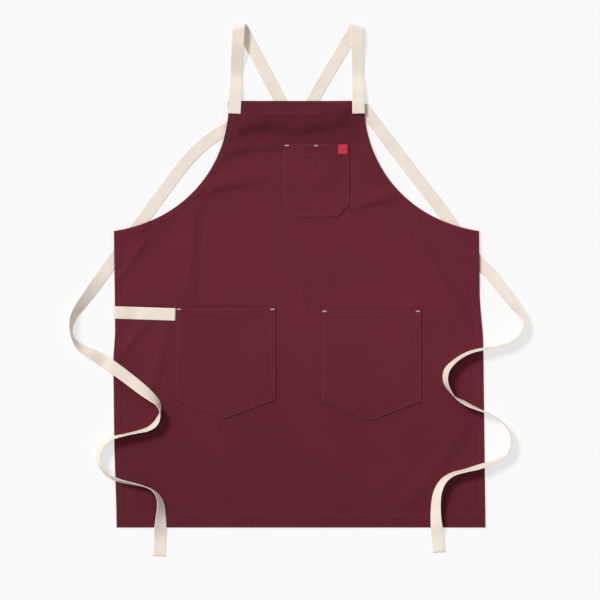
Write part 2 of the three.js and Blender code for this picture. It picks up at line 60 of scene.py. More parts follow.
# Panel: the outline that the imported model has
PANEL_LOW, PANEL_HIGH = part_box("body_panel")
BIB_TOP = PANEL_HIGH[1]
HEM_Y = PANEL_LOW[1]
PANEL_LENGTH = BIB_TOP - HEM_Y
HEM_DRIFT = 7 * MM
RIGHT_SWING = 6 * MM
SWING_NEAR = 5 * MM
SWING_FAR = 110 * MM
LEFT_SWING = 4.5 * MM
HALF_SKIRT = -PANEL_LOW[0]
HALF_BIB = 136.5 * MM
BAND_DEPTH = 26 * MM
HEM_DEPTH = 26 * MM
ARMHOLE_DEPTH = 234 * MM
CORNER_Y = BIB_TOP - BAND_DEPTH - ARMHOLE_DEPTH

# Cloth and webbing as they lie in layers
GAP = 0.3 * MM
CLOTH = 1.2 * MM
HEM_THICKNESS = 2.4 * MM
SEAM_WIDTH = 11.6 * MM
SEAM_STITCH = 10 * MM
HEM_STITCH = 25 * MM
SEAM_END = 2 * MM
WEBBING_WIDTH = 25 * MM
WEBBING_THICKNESS = 1.6 * MM
LAYER = WEBBING_THICKNESS + GAP
KEEPER_THICKNESS = 1.0 * MM
CORNER_LIFT = KEEPER_THICKNESS + GAP + LAYER
FLOOR_LEVEL = WEBBING_THICKNESS / 2

# Strap route: the same chosen points as the solids, as shares of the panel
SHOULDER_RISE = 147 * MM
LEFT_SHOULDER = 112 * MM
RIGHT_SHOULDER = 120 * MM
CREASE_RADIUS = 3.6 * MM
LEFT_SHOULDER_RADIUS = 8.0 * MM
RIGHT_SHOULDER_RADIUS = 4.2 * MM
SEWN_OVERLAP = 26 * MM
CROSS_ENTRY = 32 * MM
HIDDEN_DEPTH = 124 * MM
HIDDEN_SPREAD = 30 * MM
LEFT_CORNER = (24.5 * MM, 40 * MM)
RIGHT_CORNER = (9 * MM, 7 * MM)
KEEPER_LENGTH = 22 * MM
CORNER_DROP = 22 * MM
TIE_CLEAR = 0.47
STACK_FLAT = 25 * MM
STACK_SLOPE = 18 * MM
STATION_STEP = 2.6 * MM
FOLD_STEPS = 14
STEEP_SIDE = 0.7
SWELL_NEAR = 34 * MM
SWELL_FAR = 72 * MM

# Columns: out, down and turn, as in the solids' route
LEFT_TIE = (
    (0.529, 0.109, 0),
    (0.811, 0.260, 0),
    (1.008, 0.375, 0),
    (1.066, 0.409, 4),
    (1.128, 0.446, 22),
    (1.190, 0.482, 42),
    (1.222, 0.504, 58),
    (1.238, 0.528, 76),
    (1.237, 0.546, 86),
    (1.219, 0.564, 76),
    (1.183, 0.580, 52),
    (1.125, 0.593, 40),
    (1.050, 0.613, 14),
    (0.960, 0.641, 18),
    (0.858, 0.675, 29),
    (0.803, 0.694, 48),
    (0.770, 0.708, 68),
    (0.757, 0.723, 84),
    (0.764, 0.740, 106),
    (0.784, 0.756, 115),
    (0.822, 0.768, 108),
    (0.880, 0.775, 98),
    (0.950, 0.782, 96),
    (1.020, 0.790, 102),
    (1.078, 0.808, 112),
    (1.098, 0.832, 114),
    (1.084, 0.858, 110),
    (1.040, 0.878, 112),
    (0.975, 0.890, 106),
    (0.906, 0.897, 102),
    (0.850, 0.903, 96),
    (0.806, 0.911, 92),
    (0.775, 0.925, 78),
    (0.760, 0.946, 58),
    (0.760, 0.972, 42),
    (0.764, 1.001, 16),
    (0.767, 1.029, 0),
    (0.770, 1.067, 0),
)
RIGHT_TIE = (
    (0.576, 0.134, 0),
    (0.803, 0.260, 0),
    (1.008, 0.385, 0),
    (1.048, 0.399, 4),
    (1.112, 0.434, 16),
    (1.180, 0.473, 36),
    (1.214, 0.494, 56),
    (1.234, 0.513, 74),
    (1.228, 0.535, 85),
    (1.178, 0.561, 86),
    (1.100, 0.574, 84),
    (1.025, 0.580, 82),
    (0.940, 0.589, 80),
    (0.868, 0.606, 78),
    (0.812, 0.632, 66),
    (0.806, 0.658, 70),
    (0.848, 0.690, 90),
    (0.910, 0.708, 108),
    (0.985, 0.723, 97),
    (1.060, 0.736, 90),
    (1.128, 0.758, 90),
    (1.160, 0.790, 90),
    (1.140, 0.824, 88),
    (1.062, 0.845, 80),
    (0.982, 0.857, 70),
    (0.905, 0.866, 80),
    (0.835, 0.875, 76),
    (0.786, 0.891, 64),
    (0.756, 0.916, 52),
    (0.745, 0.946, 42),
    (0.744, 0.976, 34),
    (0.750, 1.007, 16),
    (0.762, 1.058, 4),
)

# Soft ridges in the cloth: points on each crest as out and down shares of the panel, then its
# height and half width in mm
FOLDS = (
    # across the bib below the band
    (((-0.370, 0.075), (-0.255, 0.054), (-0.134, 0.045), (0.008, 0.061), (0.156, 0.047),
      (0.304, 0.033)), 8.4, 34),
    # under the band
    (((-0.189, 0.028), (0.019, 0.034), (0.184, 0.026)), 3.2, 18),
    # left of the chest pocket, high
    (((-0.408, 0.127), (-0.321, 0.113), (-0.227, 0.106), (-0.090, 0.106)), 5.4, 21),
    # left of the chest pocket, low
    (((-0.507, 0.216), (-0.441, 0.202), (-0.353, 0.192), (-0.222, 0.188)), 5.2, 21),
    # right of the chest pocket, high
    (((0.288, 0.106), (0.359, 0.120), (0.447, 0.152)), 3.4, 20),
    # right of the chest pocket, low
    (((0.299, 0.249), (0.381, 0.239), (0.556, 0.220)), 4.4, 20),
    # down from the left armhole
    (((-0.562, 0.232), (-0.579, 0.349), (-0.610, 0.467)), 3.2, 34),
    # left corner of the skirt
    (((-0.981, 0.427), (-0.892, 0.368), (-0.803, 0.309)), 2.6, 12),
    # down to the right side
    (((0.654, 0.321), (0.740, 0.377), (0.815, 0.438), (0.934, 0.509)), 4.6, 20),
    # up to the right side
    (((0.560, 0.964), (0.727, 0.875), (0.838, 0.812), (0.939, 0.743)), 3.6, 26),
    # below the towel loop
    (((-0.981, 0.603), (-0.897, 0.556), (-0.797, 0.509)), 3.2, 14),
    # beside the left pocket
    (((-0.814, 0.701), (-0.745, 0.584), (-0.710, 0.525)), 2.9, 22),
    # above the left pocket
    (((-0.643, 0.4785), (-0.380, 0.4775), (-0.139, 0.4790)), 1.7, 5),
    # above the right pocket
    (((0.157, 0.4825), (0.409, 0.4815), (0.672, 0.4825)), 1.7, 5),
    # right corner, high
    (((0.830, 0.305), (0.907, 0.305), (0.983, 0.312)), 1.9, 8),
    # right corner, low
    (((0.867, 0.342), (0.927, 0.359), (0.987, 0.375)), 2.1, 8),
    # between the pockets
    (((0.013, 0.537), (0.037, 0.467), (0.005, 0.420)), 1.9, 24),
    # foot of the left side
    (((-0.991, 0.961), (-0.903, 0.950), (-0.810, 0.954)), 1.8, 8),
)


def linear(code):
    """An sRGB hex colour as linear red, green and blue."""
    parts = [int(code[i:i + 2], 16) / 255 for i in (1, 3, 5)]
    return tuple(c / 12.92 if c <= 0.04045 else ((c + 0.055) / 1.055) ** 2.4 for c in parts)


def colour(name, description, code):
    """A colour that a user may change, from its sRGB hex code."""
    return bpy.props.FloatVectorProperty(
        name=name, description=description, size=3, subtype="COLOR", min=0, max=1,
        default=linear(code))


class ApronTwill(bpy.types.PropertyGroup):
    """The dyed cloth and its hems."""

    dye: colour("Dye", "Colour of the twill", "#69212f")
    worn: colour("Worn edges", "Colour of the cloth where folded edges have rubbed", "#7c3542")
    thread: colour("Thread", "Colour of the seam thread", "#7a2f3d")
    tack: colour("Bar tacks", "Colour of the bar tacks' thread", "#e6c3c4")
    rib: bpy.props.FloatProperty(
        name="Twill rib", description="Distance from one diagonal rib to the next", unit="LENGTH",
        default=1.5 * MM, min=0.4 * MM, max=4 * MM)
    stitch: bpy.props.FloatProperty(
        name="Stitch", description="Length of one seam stitch with its gap", unit="LENGTH",
        default=3.6 * MM, min=1.5 * MM, max=8 * MM)


class ApronWebbing(bpy.types.PropertyGroup):
    """The cotton straps and the towel loop."""

    cotton: colour("Cotton", "Colour of the webbing", "#f4eade")
    # painted shade: the colour laid into the hollows between the webbing's ribs, and also into its uneven
    # patches
    shade: colour("Shaded yarn", "Colour between the webbing's ribs", "#dccbb9")
    rib: bpy.props.FloatProperty(
        name="Herringbone rib", description="Distance from one rib to the next along the webbing",
        unit="LENGTH", default=1.8 * MM, min=0.6 * MM, max=5 * MM)
    tag: colour("Tag", "Colour of the woven tag", "#dd2543")


class ApronStudio(bpy.types.PropertyGroup):
    """Floor, light and view."""

    floor: colour("Floor", "Colour of the floor", "#9d9d9d")
    glow: bpy.props.FloatProperty(
        name="Table glow", description="Light that the table gives from below, which softens shadows on it",
        default=0.62, min=0, max=2)
    key: bpy.props.FloatProperty(
        name="Key light", description="Strength of the light from the upper left",
        default=2.35, min=0, max=20)
    fill: bpy.props.FloatProperty(
        name="Fill light", description="Strength of the even light from all round",
        default=0.46, min=0, max=5)
    field: bpy.props.FloatProperty(
        name="Field", description="Width of floor in the view", unit="LENGTH", default=1.2, min=0.5, max=5)


def smooth(start, end, value):
    """Share from 0 to 1 of value's way from start to end, eased at both ends."""
    share = np.clip((value - start) / (end - start), 0, 1)
    return share * share * (3 - 2 * share)


def drift(y):
    """How far the middle line of the skirt lies to the right at a height."""
    return HEM_DRIFT * np.clip((CORNER_Y - y) / (CORNER_Y - HEM_Y), 0, 1)


def right_swing(y):
    """How far the right side of the skirt swings out below the hip."""
    return RIGHT_SWING * smooth(-SWING_NEAR, -SWING_FAR, y)


def left_swing(y):
    """How far the left side swings out between the towel loop and the foot."""
    return LEFT_SWING * smooth(-72 * MM, -150 * MM, y) * (1 - 0.6 * smooth(-290 * MM, -460 * MM, y))


def place(side, out, down):
    """A point of the panel from its shares."""
    y = BIB_TOP - down * PANEL_LENGTH
    return np.array([side * out * HALF_SKIRT + float(drift(y)), y])


def bib_corner(side):
    """Where a strap turns down behind the corner of the bib."""
    inset, tuck = LEFT_CORNER if side < 0 else RIGHT_CORNER
    return np.array([side * (HALF_BIB - inset), BIB_TOP - tuck])


def strap_turn(side):
    """Where the strap that ends on this side turns up behind the bib."""
    return np.array([side * HIDDEN_SPREAD, BIB_TOP - HIDDEN_DEPTH])


def tie_route(side):
    """Rows of the tie on one side: out, down and turn."""
    return LEFT_TIE if side < 0 else RIGHT_TIE


def keeper_spot(side):
    """Where the keeper holds a strap behind the corner of the skirt."""
    enter, leave = (place(side, *row[:2]) for row in tie_route(side)[1:3])
    share = (enter[1] - (CORNER_Y - CORNER_DROP)) / (enter[1] - leave[1])
    return enter + (leave - enter) * share


CROSSING = np.array([0, BIB_TOP - HIDDEN_DEPTH * CROSS_ENTRY / (CROSS_ENTRY + HIDDEN_SPREAD)])


def off_run(x, y, start, end):
    """Distance of points from a straight run."""
    run = end - start
    share = np.clip(((x - start[0]) * run[0] + (y - start[1]) * run[1]) / (run @ run), 0, 1)
    return np.hypot(x - start[0] - share * run[0], y - start[1] - share * run[1])


def off_spot(x, y, spot):
    """Distance of points from a spot."""
    return np.hypot(x - spot[0], y - spot[1])


def strap_swell(x, y):
    """How far the straps and the towel loop behind the panel hold it off the floor."""
    half = WEBBING_WIDTH / 2
    rises = []
    for side in (-1, 1):
        route = tie_route(side)
        entry = np.array([-side * CROSS_ENTRY, BIB_TOP])
        for start, end in ((entry, strap_turn(side)), (strap_turn(side), bib_corner(side))):
            near = off_run(x, y, start, end)
            rises.append(LAYER * (1 - smooth(half + 1.5 * MM, half + 26 * MM, near)))
        for spot in (strap_turn(side), bib_corner(side)):
            rises.append(2 * LAYER * (1 - smooth(SWELL_NEAR, SWELL_FAR, off_spot(x, y, spot))))
        spots = [bib_corner(side), *(place(side, *row[:2]) for row in route[:3])]
        near = np.minimum.reduce([off_run(x, y, a, b) for a, b in zip(spots[:-1], spots[1:])])
        crisp = 1 - smooth(half + 1 * MM, half + 6 * MM, near)
        soft = 1 - smooth(half + 22 * MM, half + 46 * MM, near)
        share = 0.6 if side < 0 else 0.35
        rises.append(CORNER_LIFT * (share * crisp + (1 - share) * soft))
        rises.append(CORNER_LIFT * (1 - smooth(29 * MM, 52 * MM, off_spot(x, y, keeper_spot(side)))))
    rises.append(2 * LAYER * (1 - smooth(SWELL_NEAR, SWELL_FAR, off_spot(x, y, CROSSING))))
    loop_low, loop_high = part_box("towel_loop")
    from_edge = np.abs(x - PANEL_LOW[0]) - 14 * MM
    from_loop = np.abs(y - (loop_low[1] + loop_high[1]) / 2) - (loop_high[1] - loop_low[1]) / 2
    rises.append(LAYER * (1 - smooth(2 * MM, 24 * MM, np.maximum(from_edge, from_loop))))
    return sum((rise / MM) ** 6 for rise in rises) ** (1 / 6) * MM


def ridge(x, y, crest, height, spread):
    """Height that a soft ridge adds: its side away from the upper left is the steeper one."""
    points = [place(1, *share) for share in crest]
    nearest = np.full(np.shape(x), np.inf)
    away = np.zeros(np.shape(x), bool)
    reach = np.minimum(off_spot(x, y, points[0]), off_spot(x, y, points[-1]))
    for start, end in zip(points[:-1], points[1:]):
        near = off_run(x, y, start, end)
        normal = np.array([end[1] - start[1], start[0] - end[0]])
        if normal[0] - normal[1] < 0:
            normal = -normal
        beyond = (x - start[0]) * normal[0] + (y - start[1]) * normal[1] > 0
        away = np.where(near < nearest, beyond, away)
        nearest = np.minimum(near, nearest)
    width = spread * np.where(away, STEEP_SIDE, 2 - STEEP_SIDE)
    fade = 0.3 + 0.7 * smooth(0, 26 * MM, reach)
    return height * fade * (1 - smooth(0, 1, nearest / width))


def panel_under(x, y):
    """Height of the underside of the panel."""
    lift = strap_swell(x, y)
    for crest, height, spread in FOLDS:
        lift = lift + ridge(x, y, crest, height * MM, spread * MM)
    wave = np.sin(x / (61 * MM) + 1.3) * np.sin(y / (83 * MM) + 0.4)
    wave = wave + 0.6 * np.sin((x + 0.7 * y) / (37 * MM) + 2.1) * np.sin((y - 0.5 * x) / (52 * MM))
    return lift + 0.5 * MM * (1 + wave / 1.6)


def groove(off):
    """Depth share of the valley that a row of stitches pulls, by distance from the row."""
    return np.exp(-(off / (1.1 * MM)) ** 2)


def pucker(x, y):
    """Small uneven waves of cloth along a stitched hem, from -1 to 1."""
    bent = np.sin(x / (2.3 * MM) + 3 * np.sin(y / (19 * MM)))
    return (0.5 * bent * np.sin(y / (2.6 * MM) + x / (31 * MM))
            + 0.5 * np.sin((x + y) / (4.1 * MM)) * np.sin((x - y) / (5.3 * MM) + 1.1))


def panel_thick(x, y, edge):
    """Thickness of the panel: doubled in the hems and pulled in along the stitching."""
    foot = 1 - smooth(HEM_DEPTH - 0.4 * MM, HEM_DEPTH + 1.6 * MM, y - HEM_Y)
    band = 1 - smooth(BAND_DEPTH - 0.4 * MM, BAND_DEPTH + 1.6 * MM, BIB_TOP - y)
    side = 1 - smooth(SEAM_WIDTH - 1.6 * MM, SEAM_WIDTH + 4.4 * MM, edge)
    deep = np.maximum(foot, band)
    pulled = 0.28 * groove(edge - SEAM_STITCH) * (1 - deep)
    pulled = np.maximum(pulled, groove(y - HEM_Y - HEM_STITCH))
    pulled = np.maximum(pulled, groove(BIB_TOP - HEM_STITCH - y))
    hemmed = np.maximum(deep, side)
    rough = 0.16 * MM * pucker(x, y) * hemmed
    return CLOTH + (HEM_THICKNESS - CLOTH) * hemmed + rough - 0.5 * MM * pulled


def rim(edge, thick):
    """How far a folded edge draws in each face from its full thickness."""
    inward = np.clip(edge / (thick / 2), 0, 1)
    return 0.42 * thick * (1 - np.sqrt(1 - (1 - inward) ** 2))


class Outline:
    """A closed outline of straight and curved stretches, anticlockwise, the foot first."""

    def __init__(self, foot, right, head, left):
        stretches = [*foot, *right, *head, *left]
        tangents = []
        for points in stretches:
            steps = np.gradient(points, axis=0)
            tangents.append(steps / np.hypot(*steps.T)[:, None])
        turns = []
        for before, after in zip([tangents[-1], *tangents[:-1]], tangents):
            a = before[-1]
            b = after[0]
            turns.append(math.tan(math.atan2(a[0] * b[1] - a[1] * b[0], a @ b) / 2))
        loop = []
        inward = []
        for points, tangent, start, end in zip(stretches, tangents, turns, [*turns[1:], turns[0]]):
            run = along_path(points)
            slide = start + (-end - start) * run / run[-1]
            normal = np.column_stack([-tangent[:, 1], tangent[:, 0]])
            loop.append(points[:-1])
            inward.append((normal + tangent * slide[:, None])[:-1])
        self.loop = np.concatenate(loop)
        self.inward = np.concatenate(inward)
        counts = [sum(len(points) - 1 for points in side) for side in (foot, right, head, left)]
        self.marks = np.concatenate([[0], np.cumsum(counts)])

    def inset(self, amount):
        """The whole outline drawn in by an amount."""
        return self.loop + self.inward * amount

    def side(self, number, amount):
        """Points along one side at an inset: 0 is the foot, then right, head and left."""
        ring = self.inset(amount)
        ring = np.concatenate([ring, ring[:1]])
        return ring[self.marks[number]:self.marks[number + 1] + 1]

    def edge(self, x, y, limit):
        """Distance from the outline for points inside it, not told apart beyond the limit."""
        points = np.column_stack([np.ravel(x), np.ravel(y)])
        run = np.roll(self.loop, -1, axis=0) - self.loop
        length = (run ** 2).sum(1)
        gaps = np.full(len(points), limit)
        for first in range(0, len(points), 1500):
            delta = points[first:first + 1500, None] - self.loop
            share = np.clip((delta * run).sum(2) / length, 0, 1)
            near = np.hypot(*(delta - share[..., None] * run).transpose(2, 0, 1)).min(1)
            gaps[first:first + 1500] = np.minimum(near, limit)
        return gaps.reshape(np.shape(x))


def at_shares(start, end, shares):
    """Points on a straight line at given shares of it."""
    share = np.asarray(shares)[:, None]
    return np.asarray(start) * (1 - share) + np.asarray(end) * share


def between(start, end, count):
    """Points at even steps on a straight line."""
    return at_shares(start, end, np.linspace(0, 1, count))


def along_path(points):
    """How far along a path each of its points lies."""
    return np.concatenate([[0], np.cumsum(np.linalg.norm(np.diff(points, axis=0), axis=1))])


def shares_along(points):
    """How far along a path each of its points lies, as shares of the whole path."""
    run = along_path(points)
    return run / run[-1]


def straight_away(vector):
    """A direction of length one."""
    return vector / np.linalg.norm(vector)


def armhole(count):
    """Points of the right armhole from the corner of the skirt up to the band, evenly spaced."""
    share = np.linspace(1, 0, 400)[:, None]
    rest = 1 - share
    span = HALF_SKIRT - HALF_BIB
    poles = (
        np.array((HALF_BIB, BIB_TOP - BAND_DEPTH)),
        np.array((HALF_BIB + 0.03 * span, CORNER_Y + 0.58 * ARMHOLE_DEPTH)),
        np.array((HALF_BIB + 0.34 * span, CORNER_Y + 0.10 * ARMHOLE_DEPTH)),
        np.array((HALF_SKIRT, CORNER_Y)),
    )
    curve = (rest ** 3 * poles[0] + 3 * rest ** 2 * share * poles[1]
             + 3 * rest * share ** 2 * poles[2] + share ** 3 * poles[3])
    run = along_path(curve)
    even = np.linspace(0, run[-1], count)
    return np.column_stack([np.interp(even, run, curve[:, k]) for k in range(2)])


PANEL_RINGS = np.array([0, 0.3, 0.8, 1.6, 3.5, 6.5, 8.6, 9.4, 10.0, 10.6, 11.4, 12.2, 13.2]) * MM
PANEL_COLUMNS = 142
PANEL_ROWS = 122
ARMHOLE_ROWS = 76
EDGE_REACH = 30 * MM


def panel_outline():
    """The cut of the panel, with rows close together at the foot hem and the band."""
    inner = HEM_DEPTH - PANEL_RINGS[-1]
    skirt = CORNER_Y - HEM_Y
    close = np.array([0, 3, 6, 8.5, 10.2, 11.1, 11.9, 12.7, 13.5, 14.5, 16, 19]) * MM / skirt
    shares = np.concatenate([close, np.linspace(23 * MM / skirt, 1, PANEL_ROWS)])
    band_close = np.array([0, 0.7, 1.4, 2.2, 4.0, 6.5, 9.5]) * MM / inner
    band_shares = np.concatenate([band_close[band_close < 0.95], [1]])
    curve = armhole(ARMHOLE_ROWS)
    right_side = at_shares((HALF_SKIRT + HEM_DRIFT, HEM_Y), (HALF_SKIRT, CORNER_Y), shares)
    right_side[:, 0] += right_swing(right_side[:, 1])
    left_side = at_shares((HEM_DRIFT - HALF_SKIRT, HEM_Y), (-HALF_SKIRT, CORNER_Y), shares)
    left_side[:, 0] -= left_swing(left_side[:, 1])
    right = [
        right_side,
        curve,
        at_shares((HALF_BIB, BIB_TOP - BAND_DEPTH), (HALF_BIB, BIB_TOP), band_shares),
    ]
    left = [
        at_shares((-HALF_BIB, BIB_TOP - BAND_DEPTH), (-HALF_BIB, BIB_TOP), band_shares)[::-1],
        (curve * (-1, 1))[::-1],
        left_side[::-1],
    ]
    foot = [between(left_side[0], right_side[0], PANEL_COLUMNS)]
    head = [between((HALF_BIB, BIB_TOP), (-HALF_BIB, BIB_TOP), PANEL_COLUMNS)]
    return Outline(foot, right, head, left)


PANEL = panel_outline()


def panel_top(x, y):
    """Height of the front of the panel."""
    x = np.asarray(x, float)
    y = np.asarray(y, float)
    return panel_under(x, y) + panel_thick(x, y, PANEL.edge(x, y, EDGE_REACH))


def on_panel(x, y):
    """Whether points are over the panel."""
    start = PANEL.loop
    end = np.roll(start, -1, axis=0)
    flat_x = np.ravel(x)[:, None]
    flat_y = np.ravel(y)[:, None]
    rise = np.where(end[:, 1] == start[:, 1], 1, end[:, 1] - start[:, 1])
    crossing = (start[:, 1] > flat_y) != (end[:, 1] > flat_y)
    at_x = start[:, 0] + (flat_y - start[:, 1]) / rise * (end[:, 0] - start[:, 0])
    return ((crossing & (flat_x < at_x)).sum(1) % 2 == 1).reshape(np.shape(x))


def floor_or_panel(x, y):
    """Height of what a tie lies on."""
    return np.where(on_panel(x, y), panel_top(x, y) + GAP, 0)


def new_mesh(name, verts, faces, uvs=None, wear=None):
    """A smooth mesh object from corners and lists of faces, with its uv map or its wear attribute."""
    mesh = bpy.data.meshes.new(name)
    mesh.from_pydata(np.asarray(verts).tolist(), [], faces)
    mesh.update()
    mesh.shade_smooth()
    if uvs is not None:
        layer = mesh.uv_layers.new(name="weave")
        corners = np.empty(len(mesh.loops), dtype=int)
        mesh.loops.foreach_get("vertex_index", corners)
        layer.data.foreach_set("uv", uvs[corners].ravel())
    if wear is not None:
        attribute = mesh.attributes.new("wear", "FLOAT", "POINT")
        attribute.data.foreach_set("value", wear)
    obj = bpy.data.objects.new(name, mesh)
    bpy.context.scene.collection.objects.link(obj)
    return obj


def cloth_piece(name, outline, rings, under, over):
    """A closed sheet of cloth: rings in from its edge, then rows and columns, on both faces.

    under and over give the faces' heights from x, y and the distance from the edge."""
    foot, right, head, left = (outline.side(k, rings[-1]) for k in range(4))
    head = head[::-1]
    left = left[::-1]
    u = ((shares_along(foot) + shares_along(head)) / 2)[None, :, None]
    v = ((shares_along(left) + shares_along(right)) / 2)[:, None, None]
    grid = (1 - u) * left[:, None] + u * right[:, None] + (1 - v) * foot[None] + v * head[None]
    grid = grid - (1 - v) * ((1 - u) * foot[0] + u * foot[-1]) - v * ((1 - u) * head[0] + u * head[-1])
    rows, columns = grid.shape[:2]
    count = len(outline.loop)
    inner = grid.reshape(-1, 2)
    points = np.concatenate([*(outline.inset(ring) for ring in rings[:-1]), inner])
    edge = np.concatenate([
        np.repeat(rings[:-1], count),
        np.maximum(outline.edge(inner[:, 0], inner[:, 1], EDGE_REACH), rings[-1]),
    ])
    x, y = points.T
    low = under(x, y, edge)
    high = over(x, y, edge)
    verts = np.concatenate([np.column_stack([x, y, low]), np.column_stack([x, y, high])])
    total = len(points)
    index = count * (len(rings) - 1) + np.arange(rows * columns).reshape(rows, columns)
    last = np.concatenate([index[0], index[1:, -1], index[-1, ::-1][1:], index[::-1, 0][1:-1]])
    loops = [np.arange(count) + count * k for k in range(len(rings) - 1)] + [last]
    faces = []
    for outer, within in zip(loops[:-1], loops[1:]):
        quads = np.column_stack([outer, np.roll(outer, -1), np.roll(within, -1), within])
        faces += [quads + total, quads[:, ::-1]]
    cells = np.column_stack([
        index[:-1, :-1].ravel(), index[:-1, 1:].ravel(), index[1:, 1:].ravel(), index[1:, :-1].ravel(),
    ])
    faces += [cells + total, cells[:, ::-1]]
    border = loops[0]
    after = np.roll(border, -1)
    faces.append(np.column_stack([border, after, after + total, border + total]))
    wear = np.tile(np.exp(-edge / (1.4 * MM)), 2)
    return new_mesh(name, verts, np.concatenate(faces).tolist(), wear=wear)


def running_mean(values, reach):
    """Values averaged over their neighbours on each side, with the ends held."""
    values = np.asarray(values, float)
    padded = np.concatenate([np.repeat(values[:1], reach, 0), values, np.repeat(values[-1:], reach, 0)])
    kernel = np.hanning(2 * reach + 3)[1:-1]
    return np.convolve(padded, kernel / kernel.sum(), "valid")


def running_max(values, reach):
    """The highest of each value's neighbours on each side."""
    padded = np.pad(values, reach, mode="edge")
    return np.lib.stride_tricks.sliding_window_view(padded, 2 * reach + 1).max(1)


def smooth_path(points, turns, start_gap, end_gap):
    """Places, headings and rolls at even steps on a smooth curve through the points."""
    points = np.asarray(points, float)
    turns = np.asarray(turns, float)
    ends = np.concatenate([[2 * points[0] - points[1]], points, [2 * points[-1] - points[-2]]])
    knots = np.concatenate([[0], np.cumsum(np.hypot(*np.diff(ends, axis=0).T) ** 0.5)])
    dense = []
    roll = []
    for k in range(1, len(ends) - 2):
        t = np.linspace(knots[k], knots[k + 1], 40, endpoint=False)[:, None]
        a = [((knots[j + 1] - t) * ends[j] + (t - knots[j]) * ends[j + 1]) / (knots[j + 1] - knots[j])
             for j in (k - 1, k, k + 1)]
        b = [((knots[j + 2] - t) * a[m] + (t - knots[j]) * a[m + 1]) / (knots[j + 2] - knots[j])
             for m, j in ((0, k - 1), (1, k))]
        dense.append(((knots[k + 1] - t) * b[0] + (t - knots[k]) * b[1]) / (knots[k + 1] - knots[k]))
        roll.append(np.linspace(turns[k - 1], turns[k], 40, endpoint=False))
    dense = np.concatenate([*dense, points[-1:]])
    roll = np.concatenate([*roll, turns[-1:]])
    run = along_path(dense)
    count = max(3, round((run[-1] - start_gap - end_gap) / STATION_STEP))
    at = np.linspace(start_gap, run[-1] - end_gap, count)
    spots = np.column_stack([np.interp(at, run, dense[:, k]) for k in range(2)])
    headings = np.gradient(spots, axis=0)
    headings /= np.hypot(*headings.T)[:, None]
    rolls = np.interp(at, run, roll)
    if np.ptp(rolls) > 1:
        rolls = running_mean(rolls, 5)
    return spots, headings, rolls


def leg(points, turns, flip, rest_at, start_gap=0.0, end_gap=0.0, stiff=5):
    """Stations of webbing lying along a path. flip is 1 or -1 for the face that is up."""
    spots, headings, rolls = smooth_path(points, turns, start_gap, end_gap)
    angle = np.radians(rolls)[:, None]
    side = np.column_stack([headings[:, 1], -headings[:, 0], np.zeros(len(spots))]) * flip
    up = np.array([0, 0, flip], float)
    wide = side * np.cos(angle) + np.cross(np.column_stack([headings, angle * 0]), side) * np.sin(angle)
    face = up * np.cos(angle) + np.cross(np.column_stack([headings, angle * 0]), up) * np.sin(angle)
    reach = (WEBBING_WIDTH * np.abs(wide[:, 2]) + WEBBING_THICKNESS * np.abs(face[:, 2])) / 2
    across = np.array([-1, -0.6, 0, 0.6, 1]) * WEBBING_WIDTH / 2
    x = spots[:, :1] + across * wide[:, :1]
    y = spots[:, 1:] + across * wide[:, 1:2]
    rest = running_max(rest_at(x, y).max(1), 2)
    z = running_mean(rest + reach, stiff)
    return np.column_stack([spots, z]), wide, face, np.ones(len(spots))


def fold(crease, before, after, level, radius, sense, flip):
    """Stations of a fold round a level crease: sense 1 turns it over, -1 under.

    Its sections run along the crease, so they are longer than the webbing is wide."""
    into = straight_away(crease - before)
    out = straight_away(after - crease)
    along = straight_away(into + out)
    ahead = straight_away(into - along * (into @ along))
    lean = (into @ along) / (into @ ahead)
    stretch = 1 / (into @ ahead)
    side = np.array([ahead[1], -ahead[0]]) * flip
    wide = np.append(along * np.sign(side @ along), 0)
    angle = np.linspace(0, math.pi, FOLD_STEPS + 1)[:, None]
    ahead = np.append(ahead, 0)
    along = np.append(along, 0)
    points = (np.append(crease, level) + ahead * radius * np.sin(angle)
              + along * radius * lean * (angle - math.pi / 2)
              + np.array([0, 0, sense * radius]) * (1 - np.cos(angle)))
    face = np.array([0, 0, flip]) * np.cos(angle) - ahead * sense * flip * np.sin(angle)
    room = WEBBING_WIDTH / 2 * abs(lean) + 2 * WEBBING_THICKNESS
    stations = (points, np.repeat(wide[None], len(points), 0), face, np.full(len(points), stretch))
    return stations, room, points[0, :2], points[-1, :2]


# Half of the webbing's section: share of the half width, and of the half thickness
SECTION = np.array([
    (-1, 0), (-0.985, 0.55), (-0.93, 0.95), (-0.85, 1), (-0.45, 0.94), (0, 0.92),
    (0.45, 0.94), (0.85, 1), (0.93, 0.95), (0.985, 0.55), (1, 0),
])


def webbing_piece(name, runs, width=WEBBING_WIDTH, thickness=WEBBING_THICKNESS):
    """A flat woven section carried through runs of stations, and its length."""
    points, wide, face, stretch = (np.concatenate(parts) for parts in zip(*runs))
    section = np.concatenate([SECTION, SECTION[1:-1][::-1] * (1, -1)])
    along = along_path(points)
    keep = np.concatenate([[True], np.diff(along) > 1e-6])
    points, wide, face, stretch, along = (part[keep] for part in (points, wide, face, stretch, along))
    rings = (points[:, None] + section[None, :, :1] * wide[:, None] * (width / 2) * stretch[:, None, None]
             + section[None, :, 1:] * face[:, None] * thickness / 2)
    count, size = rings.shape[:2]
    index = np.arange(count * size).reshape(count, size)
    after = np.roll(index, -1, axis=1)
    quads = np.stack([index[:-1], index[1:], after[1:], after[:-1]], axis=2).reshape(-1, 4)
    faces = quads.tolist()
    faces += [index[0].tolist(), index[-1, ::-1].tolist()]
    uvs = np.stack([
        np.broadcast_to(section[:, 0] * width / 2, (count, size)),
        np.broadcast_to(along[:, None], (count, size)),
    ], axis=2).reshape(-1, 2)
    return new_mesh(name, rings.reshape(-1, 3), faces, uvs=uvs), float(along[-1])


def stack_rest(spot, height, flat=STACK_FLAT):
    """Height that a spot's lower layers give what lies on them."""
    return lambda x, y: height * (1 - smooth(flat, flat + STACK_SLOPE, off_spot(x, y, spot)))


